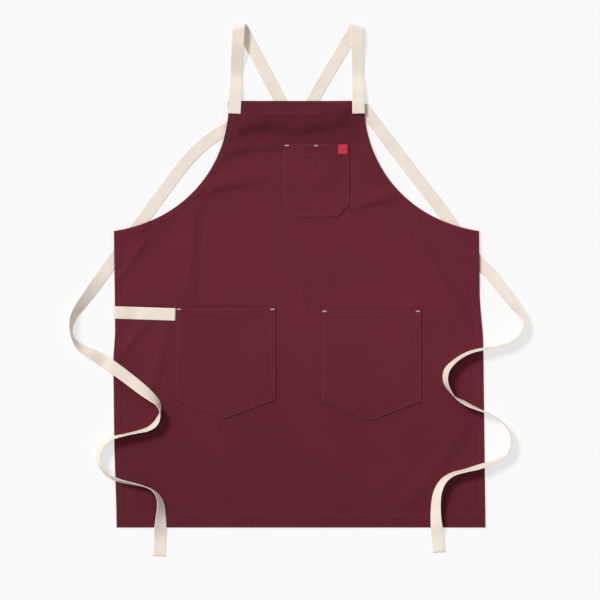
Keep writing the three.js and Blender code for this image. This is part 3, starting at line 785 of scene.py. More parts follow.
def strap_runs(side, shoulder_x, cross_level, radius):
    """One strap: sewn end, shoulder fold, two flat folds behind the bib, and the tie."""
    route = tie_route(-side)
    tie = [place(-side, *row[:2]) for row in route]
    rolls = [-side * row[2] for row in route]
    sewn = np.array([side * (HALF_BIB - WEBBING_WIDTH / 2), BIB_TOP - SEWN_OVERLAP])
    shoulder = np.array([side * shoulder_x, BIB_TOP + SHOULDER_RISE + CREASE_RADIUS - radius])
    entry = np.array([side * CROSS_ENTRY, BIB_TOP])
    turn = strap_turn(-side)
    corner = bib_corner(-side)
    over_fold, over_room, over_first, over_last = fold(
        shoulder, sewn, entry, FLOOR_LEVEL + 2 * radius, radius, -1, 1)
    turn_fold, turn_room, turn_first, turn_last = fold(
        turn, entry, corner, FLOOR_LEVEL, LAYER / 2, 1, -1)
    corner_fold, corner_room, corner_first, corner_last = fold(
        corner, turn, tie[0], FLOOR_LEVEL, LAYER / 2, 1, 1)

    def front_rest(x, y):
        """The bib's front, then the floor, then up to the shoulder fold."""
        on_bib = panel_top(x, np.minimum(y, BIB_TOP - 0.5 * MM)) + GAP
        down = smooth(BIB_TOP + 6 * MM, BIB_TOP + 50 * MM, y)
        up = 2 * radius * smooth(shoulder[1] - 90 * MM, shoulder[1] - 14 * MM, y)
        return np.maximum(on_bib * (1 - down), up)

    corner_rest = stack_rest(corner, LAYER)
    keeper_rest = stack_rest(keeper_spot(-side), KEEPER_THICKNESS + GAP, KEEPER_LENGTH / 2 + 4 * MM)
    clear_y = BIB_TOP - TIE_CLEAR * PANEL_LENGTH

    def tie_rest(x, y):
        """The fold and the keeper behind the panel, then the floor or the panel's front."""
        behind = np.maximum(corner_rest(x, y), keeper_rest(x, y))
        return np.where(y > clear_y, behind, floor_or_panel(x, y))

    return [
        leg([sewn, over_first], [0, 0], 1, front_rest, 0, over_room),
        over_fold,
        leg([over_last, entry, turn_first], [0, 0, 0], -1, stack_rest(CROSSING, cross_level),
            over_room, turn_room),
        turn_fold,
        leg([turn_last, corner_first], [0, 0], 1, stack_rest(turn, LAYER), turn_room, corner_room),
        corner_fold,
        leg([corner_last, *tie], [0, *rolls], -1, tie_rest, corner_room),
    ]


def towel_loop_runs():
    """The towel loop, from the side of the left pocket round the edge of the panel."""
    low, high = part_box("towel_loop")
    pocket_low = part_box("pocket_left")[0]
    loop_y = (low[1] + high[1]) / 2 + 2 * MM
    edge = PANEL_LOW[0] + float(drift(loop_y)) - GAP
    radius = (LAYER + HEM_THICKNESS + GAP) / 2
    start = np.array([pocket_low[0] - 1 * MM, loop_y - 4 * MM])
    crease = np.array([edge, loop_y])
    end = np.array([edge + 12 * MM, loop_y])
    round_fold, room, first, last = fold(crease, start, end, FLOOR_LEVEL + 2 * radius, radius, -1, 1)

    def on_top(x, y):
        """The panel's front, and its edge where the loop turns round it."""
        over_edge = 2 * radius * (1 - smooth(16 * MM, 40 * MM, x - edge))
        return np.maximum(panel_top(np.maximum(x, edge + 2 * MM), y) + GAP, over_edge)

    return [
        leg([start, first], [0, 0], 1, on_top, 0, room, 3),
        round_fold,
        leg([last + (0.4 * MM, 0), end], [0, 0], -1, lambda x, y: 0 * x, 0, 0, 1),
    ]


def keeper_runs(side):
    """A keeper: a strip across the strap with its two feet on the panel."""
    enter, leave = (place(side, *row[:2]) for row in tie_route(side)[1:3])
    run = straight_away(leave - enter)
    across = np.array([-run[1], run[0], 0])
    spot = keeper_spot(side)
    foot = CORNER_LIFT - GAP - KEEPER_THICKNESS / 2
    inner = WEBBING_WIDTH / 2 + 2 * MM
    profile = [
        (inner + 6.7 * MM, foot), (inner + 2.4 * MM, foot),
        (inner + 1.4 * MM, (foot + FLOOR_LEVEL) / 2), (inner, KEEPER_THICKNESS / 2),
    ]
    profile = np.array([*profile, *((-x, z) for x, z in reversed(profile))])
    steps = np.gradient(profile, axis=0)
    steps /= np.hypot(*steps.T)[:, None]
    points = np.append(spot, 0) + profile[:, :1] * across + profile[:, 1:] * np.array([0, 0, 1])
    normal = steps[:, 1:] * across * -1 + steps[:, :1] * np.array([0, 0, 1])
    wide = np.repeat(np.append(run, 0)[None], len(points), 0)
    return [(points, wide, normal, np.ones(len(points)))]


# Stitches, drawn thicker than real thread so they show, and the bar tacks
STITCH_LENGTH = 3 * MM
STITCH_SINK = 0.05 * MM
SEAM_THREAD = 0.7 * MM
TACK_THREAD = 0.62 * MM
TACK_LENGTH = 7.4 * MM
TACK_DEPTH = 3.4 * MM
TACK_THREADS = 15
TACK_LEAN = 0.28
HAND_TACK = (6 * MM, 3.6 * MM)
CHEST_TACK = (7 * MM, 2.6 * MM)


def thread_shape(thickness):
    """One stitch of thread, lying along X, as corners and faces for its copies."""
    bpy.ops.object.select_all(action="DESELECT")
    bpy.ops.mesh.primitive_cylinder_add(
        vertices=6, radius=thickness / 2, depth=STITCH_LENGTH * 0.7, end_fill_type="NGON",
        rotation=(0, math.pi / 2, 0))
    stitch = bpy.context.object
    bpy.ops.object.transform_apply(location=False, rotation=True, scale=True)
    bpy.ops.object.mode_set(mode="EDIT")
    bpy.ops.mesh.select_mode(type="FACE")
    for end in (-1, 1):
        bpy.ops.mesh.select_all(action="DESELECT")
        bpy.ops.object.mode_set(mode="OBJECT")
        for polygon in stitch.data.polygons:
            polygon.select = polygon.normal.x * end > 0.9
        bpy.ops.object.mode_set(mode="EDIT")
        bpy.ops.mesh.extrude_region_move(
            TRANSFORM_OT_translate={"value": (end * STITCH_LENGTH * 0.15, 0, 0)})
        bpy.ops.transform.resize(value=(1, 0.45, 0.45))
        bpy.ops.transform.translate(value=(0, 0, -0.3 * thickness))
    bpy.ops.object.mode_set(mode="OBJECT")
    corners = np.array([v.co for v in stitch.data.vertices])
    faces = [tuple(p.vertices) for p in stitch.data.polygons]
    bpy.data.objects.remove(stitch)
    return corners, faces


def thread_piece(name, spots, thickness):
    """Copies of one stitch at spots, each a place, a heading and a share of full length."""
    corners, faces = thread_shape(thickness)
    verts = []
    polygons = []
    for point, heading, share in spots:
        heading = straight_away(heading)
        side = straight_away(np.cross((0, 0, 1), heading))
        up = np.cross(heading, side)
        base = len(verts)
        verts.extend(
            point + corners[:, :1] * share * heading + corners[:, 1:2] * side + corners[:, 2:] * up)
        polygons.extend(tuple(base + i for i in face) for face in faces)
    return new_mesh(name, verts, polygons)


def seam_spots(path, height_at, pitch):
    """Places of stitches along a path on a surface, with their headings."""
    run = along_path(path)
    count = max(1, round(run[-1] / pitch))
    middles = (np.arange(count) + 0.5) * run[-1] / count
    half = 0.36 * pitch
    ends = []
    for at in (middles - half, middles + half):
        x, y = (np.interp(at, run, path[:, k]) for k in range(2))
        ends.append(np.column_stack([x, y, height_at(x, y) - STITCH_SINK]))
    return [((a + b) / 2, b - a, 1.0) for a, b in zip(*ends)]


def tack_spots(x, y, height_at):
    """The threads of one bar tack, packed side by side across its length."""
    spots = []
    for k, across in enumerate(np.linspace(-TACK_LENGTH / 2, TACK_LENGTH / 2, TACK_THREADS)):
        lean = TACK_LEAN if k % 2 else -TACK_LEAN
        z = float(height_at(np.array([x + across]), np.array([y]))[0]) + 0.15 * MM
        spot = np.array([x + across, y, z])
        spots.append((spot, np.array([lean, 1, 0]), TACK_DEPTH / STITCH_LENGTH))
    return spots


# How far above the foot of a pocket's top hem its stitches run
POCKET_HEM_STITCH = 1.4 * MM


class PatchPocket:
    """A patch pocket that lies on the panel: its outline, and the heights of its two faces."""

    gape = 1.2 * MM

    def __init__(self, node, foot, hem, seams, rings, density):
        low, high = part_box(node)
        self.left, self.right = low[0], high[0]
        self.top = high[1]
        self.hem_foot = self.top - hem
        self.seams = seams
        corners = [np.array(point) for point in foot]
        across = math.ceil((self.right - self.left) / density)
        total = sum(np.hypot(*(b - a)) for a, b in zip(corners[:-1], corners[1:]))
        stretches = []
        used = 0
        for k, (a, b) in enumerate(zip(corners[:-1], corners[1:])):
            steps = max(2, round(across * np.hypot(*(b - a)) / total))
            if k == len(corners) - 2:
                steps = across - used
            used += steps
            stretches.append(between(a, b, steps + 1))
        rise = self.top - corners[-1][1]
        last = straight_away(corners[-1] - corners[-2])
        slide = math.tan(math.atan2(last[0], last[1]) / 2)
        inner = rise - rings[-1] * (1 + slide)
        drops = hem + np.array([-2.4, -1.4, -0.6, 0.2, 1.0, 1.8, 2.8]) * MM - rings[-1]
        drops = np.concatenate([[0], drops[drops > 0.5 * MM]])
        even = np.linspace(drops[-1] + density, inner, math.ceil(inner / density))
        shares = 1 - np.concatenate([drops, even])[::-1] / inner
        right = [at_shares(corners[-1], (self.right, self.top), shares)]
        left = [at_shares(corners[0], (self.left, self.top), shares)[::-1]]
        head = [between((self.right, self.top), (self.left, self.top), across + 1)]
        self.outline = Outline(stretches, right, head, left)

    def under(self, x, y, edge):
        """The pocket's back, a gap above the panel, with a little room in its middle."""
        aside = np.minimum(x - self.left, self.right - x)
        mouth = smooth(self.top - 45 * MM, self.top, y) * smooth(8 * MM, 60 * MM, aside)
        return panel_top(x, y) + GAP + rim(edge, CLOTH) + self.gape * mouth

    def thick(self, x, y, edge):
        """Thickness: doubled in the top hem and the turned edges, pulled in at each seam."""
        hemmed = smooth(self.hem_foot - 1.6 * MM, self.hem_foot + 0.2 * MM, y)
        turned = 1 - smooth(10.5 * MM, 12.2 * MM, edge)
        doubled = np.maximum(hemmed, 0.55 * turned)
        thick = CLOTH + (HEM_THICKNESS - CLOTH) * doubled + 0.14 * MM * pucker(x, y) * doubled
        pulled = groove(y - self.hem_foot - POCKET_HEM_STITCH)
        for seam in self.seams:
            pulled = np.maximum(pulled, groove(edge - seam))
        return thick - 0.42 * MM * pulled - 0.3 * MM * self.channel(x)

    def channel(self, x):
        """The valleys of a pocket's divider, where it has one."""
        return 0 * x

    def over(self, x, y, edge):
        """The pocket's front, from the distance to its edge."""
        thick = self.thick(x, y, edge)
        return self.under(x, y, edge) - rim(edge, CLOTH) + thick - rim(edge, thick)

    def height(self, x, y):
        """Height of the pocket's front."""
        return self.over(x, y, self.outline.edge(x, y, 2 * EDGE_REACH))

    def seam_path(self, inset):
        """The path of a seam down one side, along the foot and up the other."""
        first = self.outline.side(3, inset)
        foot = self.outline.side(0, inset)
        last = self.outline.side(1, inset)
        return np.concatenate([first, foot[1:], last[1:]])


class PenPocket(PatchPocket):
    """The chest pocket, with two seams that divide off a pen channel."""

    divider = ()
    gape = 0.4 * MM

    def channel(self, x):
        """The valleys of the two seams."""
        return sum(groove(x - at) for at in self.divider)


POCKET_RINGS = np.array([0, 0.3, 0.8, 1.6, 2.6, 3.2, 3.8, 5.2, 7.4, 8.6, 9.4, 10.4, 12.2, 13.6]) * MM
POCKET_SEAMS = (3.2 * MM, 9.0 * MM)
POCKET_POINT = 38 * MM
POCKET_HEM = 14 * MM
CHEST_HEM = 23 * MM
CHEST_CUT = 24 * MM
PEN_DIVIDER = (33 * MM, 42 * MM)


def hand_pocket(node):
    """A hand pocket, with the point at the middle of its foot."""
    low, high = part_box(node)
    corner = low[1] + POCKET_POINT
    foot = [(low[0], corner), ((low[0] + high[0]) / 2, low[1]), (high[0], corner)]
    return PatchPocket(node, foot, POCKET_HEM, POCKET_SEAMS, POCKET_RINGS, 3.0 * MM)


def chest_pocket():
    """The chest pocket, with its two cut corners and its pen channel."""
    low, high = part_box("chest_pocket")
    foot = [
        (low[0], low[1] + CHEST_CUT), (low[0] + CHEST_CUT, low[1]),
        (high[0] - CHEST_CUT, low[1]), (high[0], low[1] + CHEST_CUT),
    ]
    pocket = PenPocket("chest_pocket", foot, CHEST_HEM, POCKET_SEAMS, POCKET_RINGS, 2.2 * MM)
    pocket.divider = PEN_DIVIDER
    return pocket


CHEST = chest_pocket()
HAND_POCKETS = {"left": hand_pocket("pocket_left"), "right": hand_pocket("pocket_right")}


def add_node(tree, kind, inputs=(), **settings):
    """A node of the given kind with its settings, and its inputs set or linked by name or number."""
    node = tree.nodes.new(kind)
    for key, value in settings.items():
        setattr(node, key, value)
    for key, value in dict(inputs).items():
        if isinstance(value, bpy.types.NodeSocket):
            tree.links.new(value, node.inputs[key])
        else:
            node.inputs[key].default_value = value
    return node


# A wave texture's scale for one metre from ridge to ridge
WAVE = 0.314


def new_material(name):
    """An empty material and its node tree."""
    material = bpy.data.materials.new(name)
    material.use_nodes = True
    material.node_tree.nodes.clear()
    return material, material.node_tree


def opaque(color):
    """A colour with its alpha."""
    return (*color, 1)


def cotton_twill(cloth):
    """Yarn-dyed cotton twill: matt, with diagonal ribs, a little uneven in depth of colour,
    paler where the folded edges have rubbed, with painted shade at the top of the bib and in the rib
    furrows and painted light on the rib crests. The ribs are drawn coarser than life so they show."""
    material, tree = new_material("burgundy cotton twill")
    place_of = add_node(tree, "ShaderNodeTexCoord").outputs["Object"]
    patches = add_node(
        tree, "ShaderNodeTexNoise",
        {"Vector": place_of, "Scale": 7, "Detail": 3, "Roughness": 0.5})
    flecks = add_node(
        tree, "ShaderNodeTexNoise",
        {"Vector": place_of, "Scale": 430, "Detail": 3, "Roughness": 0.7}).outputs[0]
    slant = add_node(
        tree, "ShaderNodeMapping", {"Vector": place_of, "Rotation": (0, 0, math.radians(45))})
    ribs = add_node(
        tree, "ShaderNodeTexWave",
        {"Vector": slant.outputs[0], "Scale": WAVE / cloth.rib, "Distortion": 1.2, "Detail": 2,
         "Detail Scale": 2.5},
        wave_type="BANDS", bands_direction="X", wave_profile="SIN").outputs["Fac"]
    deep = tuple(0.80 * c for c in cloth.dye)
    light = tuple(min(1, 1.16 * c + 0.004) for c in cloth.dye)
    tone = add_node(
        tree, "ShaderNodeMapRange",
        {"Value": patches.outputs[0], "From Min": 0.3, "From Max": 0.7, "To Min": 0.34, "To Max": 0.66})
    speckled = add_node(
        tree, "ShaderNodeMath", {0: flecks, 1: 0.55, 2: tone.outputs[0]}, operation="MULTIPLY_ADD")
    centred = add_node(tree, "ShaderNodeMath", {0: speckled.outputs[0], 1: 0.27}, operation="SUBTRACT")
    body = add_node(
        tree, "ShaderNodeMix", {0: centred.outputs[0], 6: opaque(deep), 7: opaque(light)},
        data_type="RGBA")
    # painted shade in the furrows between the twill's ribs, and painted light on their crests
    rib_shade_and_light = add_node(tree, "ShaderNodeMapRange", {"Value": ribs, "To Min": 0.82, "To Max": 1.08})
    ribbed = add_node(
        tree, "ShaderNodeMix", {0: 1.0, 6: body.outputs[2], 7: rib_shade_and_light.outputs[0]},
        data_type="RGBA", blend_type="MULTIPLY")
    # painted shade: the cloth is drawn darker at the top of the bib, where it lies in shade, and also
    # darker towards the foot of the skirt
    height = add_node(tree, "ShaderNodeSeparateXYZ", {0: place_of}).outputs[1]
    foot = add_node(
        tree, "ShaderNodeMapRange",
        {"Value": height, "From Min": HEM_Y, "From Max": 0.05, "To Min": 0.81, "To Max": 0.985},
        interpolation_type="SMOOTHSTEP")
    # painted shade at the top of the bib
    bib = add_node(
        tree, "ShaderNodeMapRange",
        {"Value": height, "From Min": 0.25, "From Max": 0.33, "To Min": 1.0, "To Max": 0.78},
        interpolation_type="SMOOTHSTEP")
    shade = add_node(
        tree, "ShaderNodeMath", {0: foot.outputs[0], 1: bib.outputs[0]}, operation="MULTIPLY")
    shaded = add_node(
        tree, "ShaderNodeMix", {0: 1.0, 6: ribbed.outputs[2], 7: shade.outputs[0]},
        data_type="RGBA", blend_type="MULTIPLY")
    rubbed = add_node(tree, "ShaderNodeAttribute", attribute_name="wear")
    patchy = add_node(tree, "ShaderNodeMath", {0: rubbed.outputs["Fac"], 1: flecks}, operation="MULTIPLY")
    final = add_node(
        tree, "ShaderNodeMix", {0: patchy.outputs[0], 6: shaded.outputs[2], 7: opaque(cloth.worn)},
        data_type="RGBA")
    relief = add_node(tree, "ShaderNodeMath", {0: flecks, 1: 0.7, 2: ribs}, operation="MULTIPLY_ADD")
    bump = add_node(
        tree, "ShaderNodeBump", {"Height": relief.outputs[0], "Strength": 0.35, "Distance": 0.22 * MM})
    shader = add_node(tree, "ShaderNodeBsdfPrincipled", {
        "Base Color": final.outputs[2], "Normal": bump.outputs[0], "Roughness": 0.92,
        "Specular IOR Level": 0.12, "Sheen Weight": 0.04, "Sheen Roughness": 0.6,
    })
    add_node(tree, "ShaderNodeOutputMaterial", {"Surface": shader.outputs["BSDF"]})
    return material


def cotton_webbing(webbing):
    """Undyed cotton webbing: herringbone ribs across its width, off-white, with warmer painted shade in the
    hollows between its ribs.
    The ribs are drawn a little coarser than life so they show."""
    material, tree = new_material("natural cotton webbing")
    weave = add_node(tree, "ShaderNodeUVMap", uv_map="weave").outputs[0]
    split = add_node(tree, "ShaderNodeSeparateXYZ", {0: weave})
    chevron = add_node(
        tree, "ShaderNodeMath", {0: split.outputs[0], 1: WEBBING_WIDTH / 8}, operation="PINGPONG")
    slanted = add_node(
        tree, "ShaderNodeMath", {0: chevron.outputs[0], 1: 1.1, 2: split.outputs[1]},
        operation="MULTIPLY_ADD")
    phase = add_node(
        tree, "ShaderNodeMath", {0: slanted.outputs[0], 1: 2 * math.pi / webbing.rib},
        operation="MULTIPLY")
    ribs = add_node(tree, "ShaderNodeMath", {0: phase.outputs[0]}, operation="SINE")
    stretched = add_node(tree, "ShaderNodeMapping", {"Vector": weave, "Scale": (900, 260, 1)})
    slubs = add_node(
        tree, "ShaderNodeTexNoise",
        {"Vector": stretched.outputs[0], "Scale": 1, "Detail": 3, "Roughness": 0.65})
    patches = add_node(
        tree, "ShaderNodeTexNoise", {"Vector": weave, "Scale": 26, "Detail": 2, "Roughness": 0.5})
    rise = add_node(
        tree, "ShaderNodeMath", {0: ribs.outputs[0], 1: 0.22, 2: slubs.outputs[0]},
        operation="MULTIPLY_ADD").outputs[0]
    tone = add_node(
        tree, "ShaderNodeMath", {0: patches.outputs[0], 1: 0.5, 2: rise}, operation="MULTIPLY_ADD")
    share = add_node(
        tree, "ShaderNodeMapRange", {"Value": tone.outputs[0], "From Min": 0.35, "From Max": 0.85})
    # painted shade: the shaded yarn colour lies in the hollows between the ribs, and also in the yarn's
    # uneven patches and slubs
    yarn = add_node(
        tree, "ShaderNodeMix",
        {0: share.outputs[0], 6: opaque(webbing.shade), 7: opaque(webbing.cotton)}, data_type="RGBA")
    bump = add_node(tree, "ShaderNodeBump", {"Height": rise, "Strength": 0.5, "Distance": 0.35 * MM})
    shader = add_node(tree, "ShaderNodeBsdfPrincipled", {
        "Base Color": yarn.outputs[2], "Normal": bump.outputs[0], "Roughness": 0.88,
        "Specular IOR Level": 0.22, "Sheen Weight": 0.06, "Sheen Roughness": 0.5,
    })
    add_node(tree, "ShaderNodeOutputMaterial", {"Surface": shader.outputs["BSDF"]})
    return material


def woven_tag_cloth(webbing):
    """Damask-woven polyester tag: bare red, with fine level ribs and a faint gloss."""
    material, tree = new_material("red woven tag")
    place_of = add_node(tree, "ShaderNodeTexCoord").outputs["Object"]
    ribs = add_node(
        tree, "ShaderNodeTexWave",
        {"Vector": place_of, "Scale": WAVE / (0.9 * MM), "Distortion": 0.6, "Detail": 1},
        wave_type="BANDS", bands_direction="Y", wave_profile="SIN")
    flecks = add_node(tree, "ShaderNodeTexNoise", {"Vector": place_of, "Scale": 700, "Detail": 2})
    share = add_node(
        tree, "ShaderNodeMath", {0: ribs.outputs["Fac"], 1: flecks.outputs[0]},
        operation="MULTIPLY").outputs[0]
    deep = tuple(0.72 * c for c in webbing.tag)
    color = add_node(
        tree, "ShaderNodeMix", {0: share, 6: opaque(deep), 7: opaque(webbing.tag)}, data_type="RGBA")
    bump = add_node(tree, "ShaderNodeBump", {"Height": share, "Strength": 0.4, "Distance": 0.15 * MM})
    shader = add_node(tree, "ShaderNodeBsdfPrincipled", {
        "Base Color": color.outputs[2], "Normal": bump.outputs[0], "Roughness": 0.6,
    })
    add_node(tree, "ShaderNodeOutputMaterial", {"Surface": shader.outputs["BSDF"]})
    return material


def spun_thread(name, color):
    """Spun polyester sewing thread: slightly glossier than the cloth, twisted."""
    material, tree = new_material(name)
    place_of = add_node(tree, "ShaderNodeTexCoord").outputs["Object"]
    fibres = add_node(
        tree, "ShaderNodeTexNoise", {"Vector": place_of, "Scale": 1400, "Detail": 2}).outputs[0]
    deep = tuple(0.7 * c for c in color)
    tone = add_node(
        tree, "ShaderNodeMix", {0: fibres, 6: opaque(deep), 7: opaque(color)}, data_type="RGBA")
    bump = add_node(tree, "ShaderNodeBump", {"Height": fibres, "Strength": 0.3, "Distance": 0.1 * MM})
    shader = add_node(tree, "ShaderNodeBsdfPrincipled", {
        "Base Color": tone.outputs[2], "Normal": bump.outputs[0], "Roughness": 0.65,
    })
    add_node(tree, "ShaderNodeOutputMaterial", {"Surface": shader.outputs["BSDF"]})
    return material


def lit_table(studio):
    """Matt white acrylic table lit from below, with the faintest unevenness."""
    material, tree = new_material("lit white acrylic table")
    place_of = add_node(tree, "ShaderNodeTexCoord").outputs["Object"]
    patches = add_node(tree, "ShaderNodeTexNoise", {"Vector": place_of, "Scale": 2, "Detail": 2})
    dim = tuple(0.985 * c for c in studio.floor)
    tone = add_node(
        tree, "ShaderNodeMix", {0: patches.outputs[0], 6: opaque(dim), 7: opaque(studio.floor)},
        data_type="RGBA")
    shader = add_node(tree, "ShaderNodeBsdfPrincipled", {
        "Base Color": tone.outputs[2], "Roughness": 0.95, "Specular IOR Level": 0.1,
        "Emission Color": (1, 1, 1, 1), "Emission Strength": studio.glow,
    })
    add_node(tree, "ShaderNodeOutputMaterial", {"Surface": shader.outputs["BSDF"]})
    return material


MATERIALS = {}


def finish_with(obj, make, settings):
    """Give an object a material, made on first use."""
    if make not in MATERIALS:
        MATERIALS[make] = make(settings)
    obj.data.materials.append(MATERIALS[make])


def on_frame(obj, node=None):
    """Ride on the root body and stand for a node."""
    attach(obj, "root")
    if node:
        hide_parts(node)


class APRON_OT_panel(bpy.types.Operator):
    """The bib and skirt: one cut of twill with its hems and the relief of what lies behind"""

    bl_idname = "apron.panel"
    bl_label = "Twill Panel"

    def execute(self, context):
        def under(x, y, edge):
            return panel_under(x, y) + rim(edge, panel_thick(x, y, edge))

        def over(x, y, edge):
            thick = panel_thick(x, y, edge)
            return panel_under(x, y) + thick - rim(edge, thick)

        panel = cloth_piece("twill_panel", PANEL, PANEL_RINGS, under, over)
        finish_with(panel, cotton_twill, context.scene.apron_twill)
        on_frame(panel, "body_panel")
        return {"FINISHED"}


class APRON_OT_pockets(bpy.types.Operator):
    """The chest pocket and the two hand pockets"""

    bl_idname = "apron.pockets"
    bl_label = "Patch Pockets"

    def execute(self, context):
        rows = [("chest_patch_pocket", CHEST, "chest_pocket", (0.151, 0.178), 0.0235)]
        for side, pocket in HAND_POCKETS.items():
            rows.append((side + "_hand_pocket", pocket, "pocket_" + side, (0.219, 0.246), 0.046))
        for name, pocket, node, flat, area in rows:
            piece = cloth_piece(name, pocket.outline, POCKET_RINGS, pocket.under, pocket.over)
            finish_with(piece, cotton_twill, context.scene.apron_twill)
            on_frame(piece, node)
        return {"FINISHED"}


TAG_THICKNESS = 0.9 * MM
TAG_STITCH = 1.6 * MM
TAG_RINGS = np.array([0, 0.2, 0.5, 1.1, 1.6, 2.1]) * MM


class APRON_OT_tag(bpy.types.Operator):
    """The bare woven tag at the top of the chest pocket"""

    bl_idname = "apron.tag"
    bl_label = "Woven Tag"

    def execute(self, context):
        low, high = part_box("label_tag")
        corners = [(low[0], low[1]), (high[0], low[1]), (high[0], high[1]), (low[0], high[1])]
        outline = Outline(*([between(a, b, 21)] for a, b in zip(corners, corners[1:] + corners[:1])))

        def under(x, y, edge):
            pulled = 0.1 * MM * groove(edge - TAG_STITCH)
            return CHEST.height(x, y) + GAP + rim(edge, TAG_THICKNESS) - pulled

        def over(x, y, edge):
            return under(x, y, edge) - 2 * rim(edge, TAG_THICKNESS) + TAG_THICKNESS

        tag = cloth_piece("bare_woven_tag", outline, TAG_RINGS, under, over)
        finish_with(tag, woven_tag_cloth, context.scene.apron_webbing)
        on_frame(tag, "label_tag")
        return {"FINISHED"}


class APRON_OT_straps(bpy.types.Operator):
    """The two webbing straps, each from its sewn end to its free end"""

    bl_idname = "apron.straps"
    bl_label = "Cross Back Straps"

    def execute(self, context):
        rows = (
            (-1, LEFT_SHOULDER, LAYER, LEFT_SHOULDER_RADIUS, "left"),
            (1, RIGHT_SHOULDER, 0, RIGHT_SHOULDER_RADIUS, "right"),
        )
        for side, shoulder_x, cross_level, radius, word in rows:
            runs = strap_runs(side, shoulder_x, cross_level, radius)
            strap, length = webbing_piece(word + "_webbing_strap", runs)
            finish_with(strap, cotton_webbing, context.scene.apron_webbing)
            on_frame(strap, "strap_" + word)
        return {"FINISHED"}


class APRON_OT_towel_loop(bpy.types.Operator):
    """The towel loop at the left side of the skirt"""

    bl_idname = "apron.towel_loop"
    bl_label = "Towel Loop"

    def execute(self, context):
        loop, length = webbing_piece("towel_webbing_loop", towel_loop_runs())
        finish_with(loop, cotton_webbing, context.scene.apron_webbing)
        on_frame(loop, "towel_loop")
        return {"FINISHED"}


class APRON_OT_keepers(bpy.types.Operator):
    """The plain keeper strips behind the corners of the skirt"""

    bl_idname = "apron.keepers"
    bl_label = "Strap Keepers"

    def execute(self, context):
        for side, word in ((-1, "left"), (1, "right")):
            keeper, length = webbing_piece(
                word + "_corner_keeper", keeper_runs(side), KEEPER_LENGTH, KEEPER_THICKNESS)
            finish_with(keeper, cotton_twill, context.scene.apron_twill)
            on_frame(keeper, "strap_keeper_" + word)
        return {"FINISHED"}


class APRON_OT_stitching(bpy.types.Operator):
    """The seams' stitches on the panel and the pockets"""

    bl_idname = "apron.stitching"
    bl_label = "Seam Stitching"

    def execute(self, context):
        cloth = context.scene.apron_twill
        pitch = cloth.stitch
        spots = []
        seam = PANEL.inset(SEAM_STITCH)
        marks = PANEL.marks
        for first, last in ((marks[1], marks[2]), (marks[3], marks[4])):
            spots += seam_spots(seam[first:last], panel_top, pitch)
        for y, half in ((HEM_Y + HEM_STITCH, HALF_SKIRT), (BIB_TOP - HEM_STITCH, HALF_BIB)):
            middle = float(drift(y))
            start = middle - half - float(left_swing(y)) + SEAM_END
            end = middle + half + float(right_swing(y)) - SEAM_END
            path = between((start, y), (end, y), 200)
            spots += seam_spots(path, panel_top, pitch)
        panel_seams = thread_piece("panel_stitches", spots, SEAM_THREAD)
        spots = []
        for pocket in (CHEST, *HAND_POCKETS.values()):
            for inset in POCKET_SEAMS:
                spots += seam_spots(pocket.seam_path(inset), pocket.height, pitch)
            y = pocket.hem_foot + POCKET_HEM_STITCH
            path = between((pocket.left + SEAM_END, y), (pocket.right - SEAM_END, y), 80)
            spots += seam_spots(path, pocket.height, pitch)
        for x in PEN_DIVIDER:
            low = float(CHEST.outline.loop[:, 1].min())
            path = between((x, CHEST.top - 1 * MM), (x, low + 3 * MM), 60)
            spots += seam_spots(path, CHEST.height, pitch)
        pocket_seams = thread_piece("pocket_stitches", spots, SEAM_THREAD)
        for piece in (panel_seams, pocket_seams):
            piece.data.materials.append(thread_material("burgundy seam thread", cloth.thread))
            on_frame(piece)
        return {"FINISHED"}


def thread_material(name, color):
    """The thread of a given name, made on first use."""
    return bpy.data.materials.get(name) or spun_thread(name, color)


class APRON_OT_bar_tacks(bpy.types.Operator):
    """The pale bar tacks at the ends of the pocket openings"""

    bl_idname = "apron.bar_tacks"
    bl_label = "Bar Tacks"

    def execute(self, context):
        spots = []
        inset, drop = HAND_TACK
        for pocket in HAND_POCKETS.values():
            for x in (pocket.left + inset, pocket.right - inset):
                spots += tack_spots(x, pocket.top - drop, pocket.height)
        inset, drop = CHEST_TACK
        for x in (CHEST.left + inset, sum(PEN_DIVIDER) / 2 + 1.5 * MM):
            spots += tack_spots(x, CHEST.top - drop, CHEST.height)
        tacks = thread_piece("pocket_bar_tacks", spots, TACK_THREAD)
        tacks.data.materials.append(thread_material("pale tack thread", context.scene.apron_twill.tack))
        on_frame(tacks)
        return {"FINISHED"}


# The sun's height, the way to it seen from above, and the width of its disc in degrees
LIGHT_RISE = 45
LIGHT_HEADING = (-0.72, 0.69)
LIGHT_SPREAD = 16
# The camera's place in metres, and its sensor in mm
VIEW_CENTRE = (0.007, -0.020)
VIEW_HEIGHT = 6
SENSOR = 36


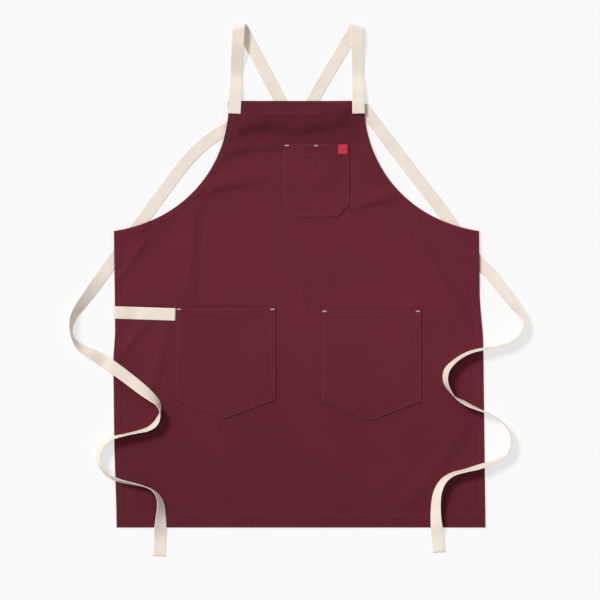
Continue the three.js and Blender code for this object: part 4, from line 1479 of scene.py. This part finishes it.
class APRON_OT_studio(bpy.types.Operator):
    """The floor, the lights and the camera straight above"""

    bl_idname = "apron.studio"
    bl_label = "Studio"

    def execute(self, context):
        studio = context.scene.apron_studio
        bpy.ops.object.select_all(action="DESELECT")
        bpy.ops.mesh.primitive_plane_add(size=12)
        floor = context.object
        floor.name = "studio_floor"
        floor.data.materials.append(lit_table(studio))
        world = bpy.data.worlds.new("even studio light")
        world.use_nodes = True
        background = world.node_tree.nodes["Background"]
        background.inputs["Color"].default_value = (1, 1, 1, 1)
        background.inputs["Strength"].default_value = studio.fill
        context.scene.world = world
        context.scene.view_settings.view_transform = "Standard"
        rise = math.radians(LIGHT_RISE)
        toward = Vector((*(math.cos(rise) * part for part in LIGHT_HEADING), math.sin(rise)))
        bpy.ops.object.light_add(type="SUN")
        key = context.object
        key.name = "key_light"
        key.data.energy = studio.key
        key.data.angle = math.radians(LIGHT_SPREAD)
        key.rotation_euler = toward.to_track_quat("Z", "Y").to_euler()
        bpy.ops.object.camera_add(location=(*VIEW_CENTRE, VIEW_HEIGHT), rotation=(0, 0, 0))
        camera = context.object
        camera.data.sensor_width = SENSOR
        camera.data.lens = SENSOR * VIEW_HEIGHT / studio.field
        camera.data.clip_end = 50
        context.scene.camera = camera
        return {"FINISHED"}


class APRON_PT_workshop(bpy.types.Panel):
    """Buttons for the apron's pieces, and their settings"""

    bl_idname = "APRON_PT_workshop"
    bl_label = "Cross Back Apron"
    bl_space_type = "VIEW_3D"
    bl_region_type = "UI"
    bl_category = "Apron"

    def draw(self, context):
        layout = self.layout
        scene = context.scene
        for group in (scene.apron_twill, scene.apron_webbing, scene.apron_studio):
            box = layout.box()
            for key in group.__annotations__:
                box.prop(group, key)
        for step in STEPS:
            layout.operator(step.bl_idname)


STEPS = (
    APRON_OT_studio,
    APRON_OT_panel,
    APRON_OT_pockets,
    APRON_OT_tag,
    APRON_OT_straps,
    APRON_OT_towel_loop,
    APRON_OT_keepers,
    APRON_OT_stitching,
    APRON_OT_bar_tacks,
)
GROUPS = (ApronTwill, ApronWebbing, ApronStudio)


def register():
    """Add the settings, the steps and the panel of buttons."""
    for group in GROUPS:
        bpy.utils.register_class(group)
    for step in STEPS:
        bpy.utils.register_class(step)
    bpy.utils.register_class(APRON_PT_workshop)
    bpy.types.Scene.apron_twill = bpy.props.PointerProperty(type=ApronTwill)
    bpy.types.Scene.apron_webbing = bpy.props.PointerProperty(type=ApronWebbing)
    bpy.types.Scene.apron_studio = bpy.props.PointerProperty(type=ApronStudio)


def unregister():
    """Take the buttons, the steps and the settings away again."""
    for word in ("apron_twill", "apron_webbing", "apron_studio"):
        delattr(bpy.types.Scene, word)
    bpy.utils.unregister_class(APRON_PT_workshop)
    for part in reversed(GROUPS + STEPS):
        bpy.utils.unregister_class(part)


def main():
    """Build the apron."""
    register()
    bpy.ops.apron.studio()
    bpy.ops.apron.panel()
    bpy.ops.apron.pockets()
    bpy.ops.apron.tag()
    bpy.ops.apron.straps()
    bpy.ops.apron.towel_loop()
    bpy.ops.apron.keepers()
    bpy.ops.apron.stitching()
    bpy.ops.apron.bar_tacks()


if __name__ == "__main__":
    main()
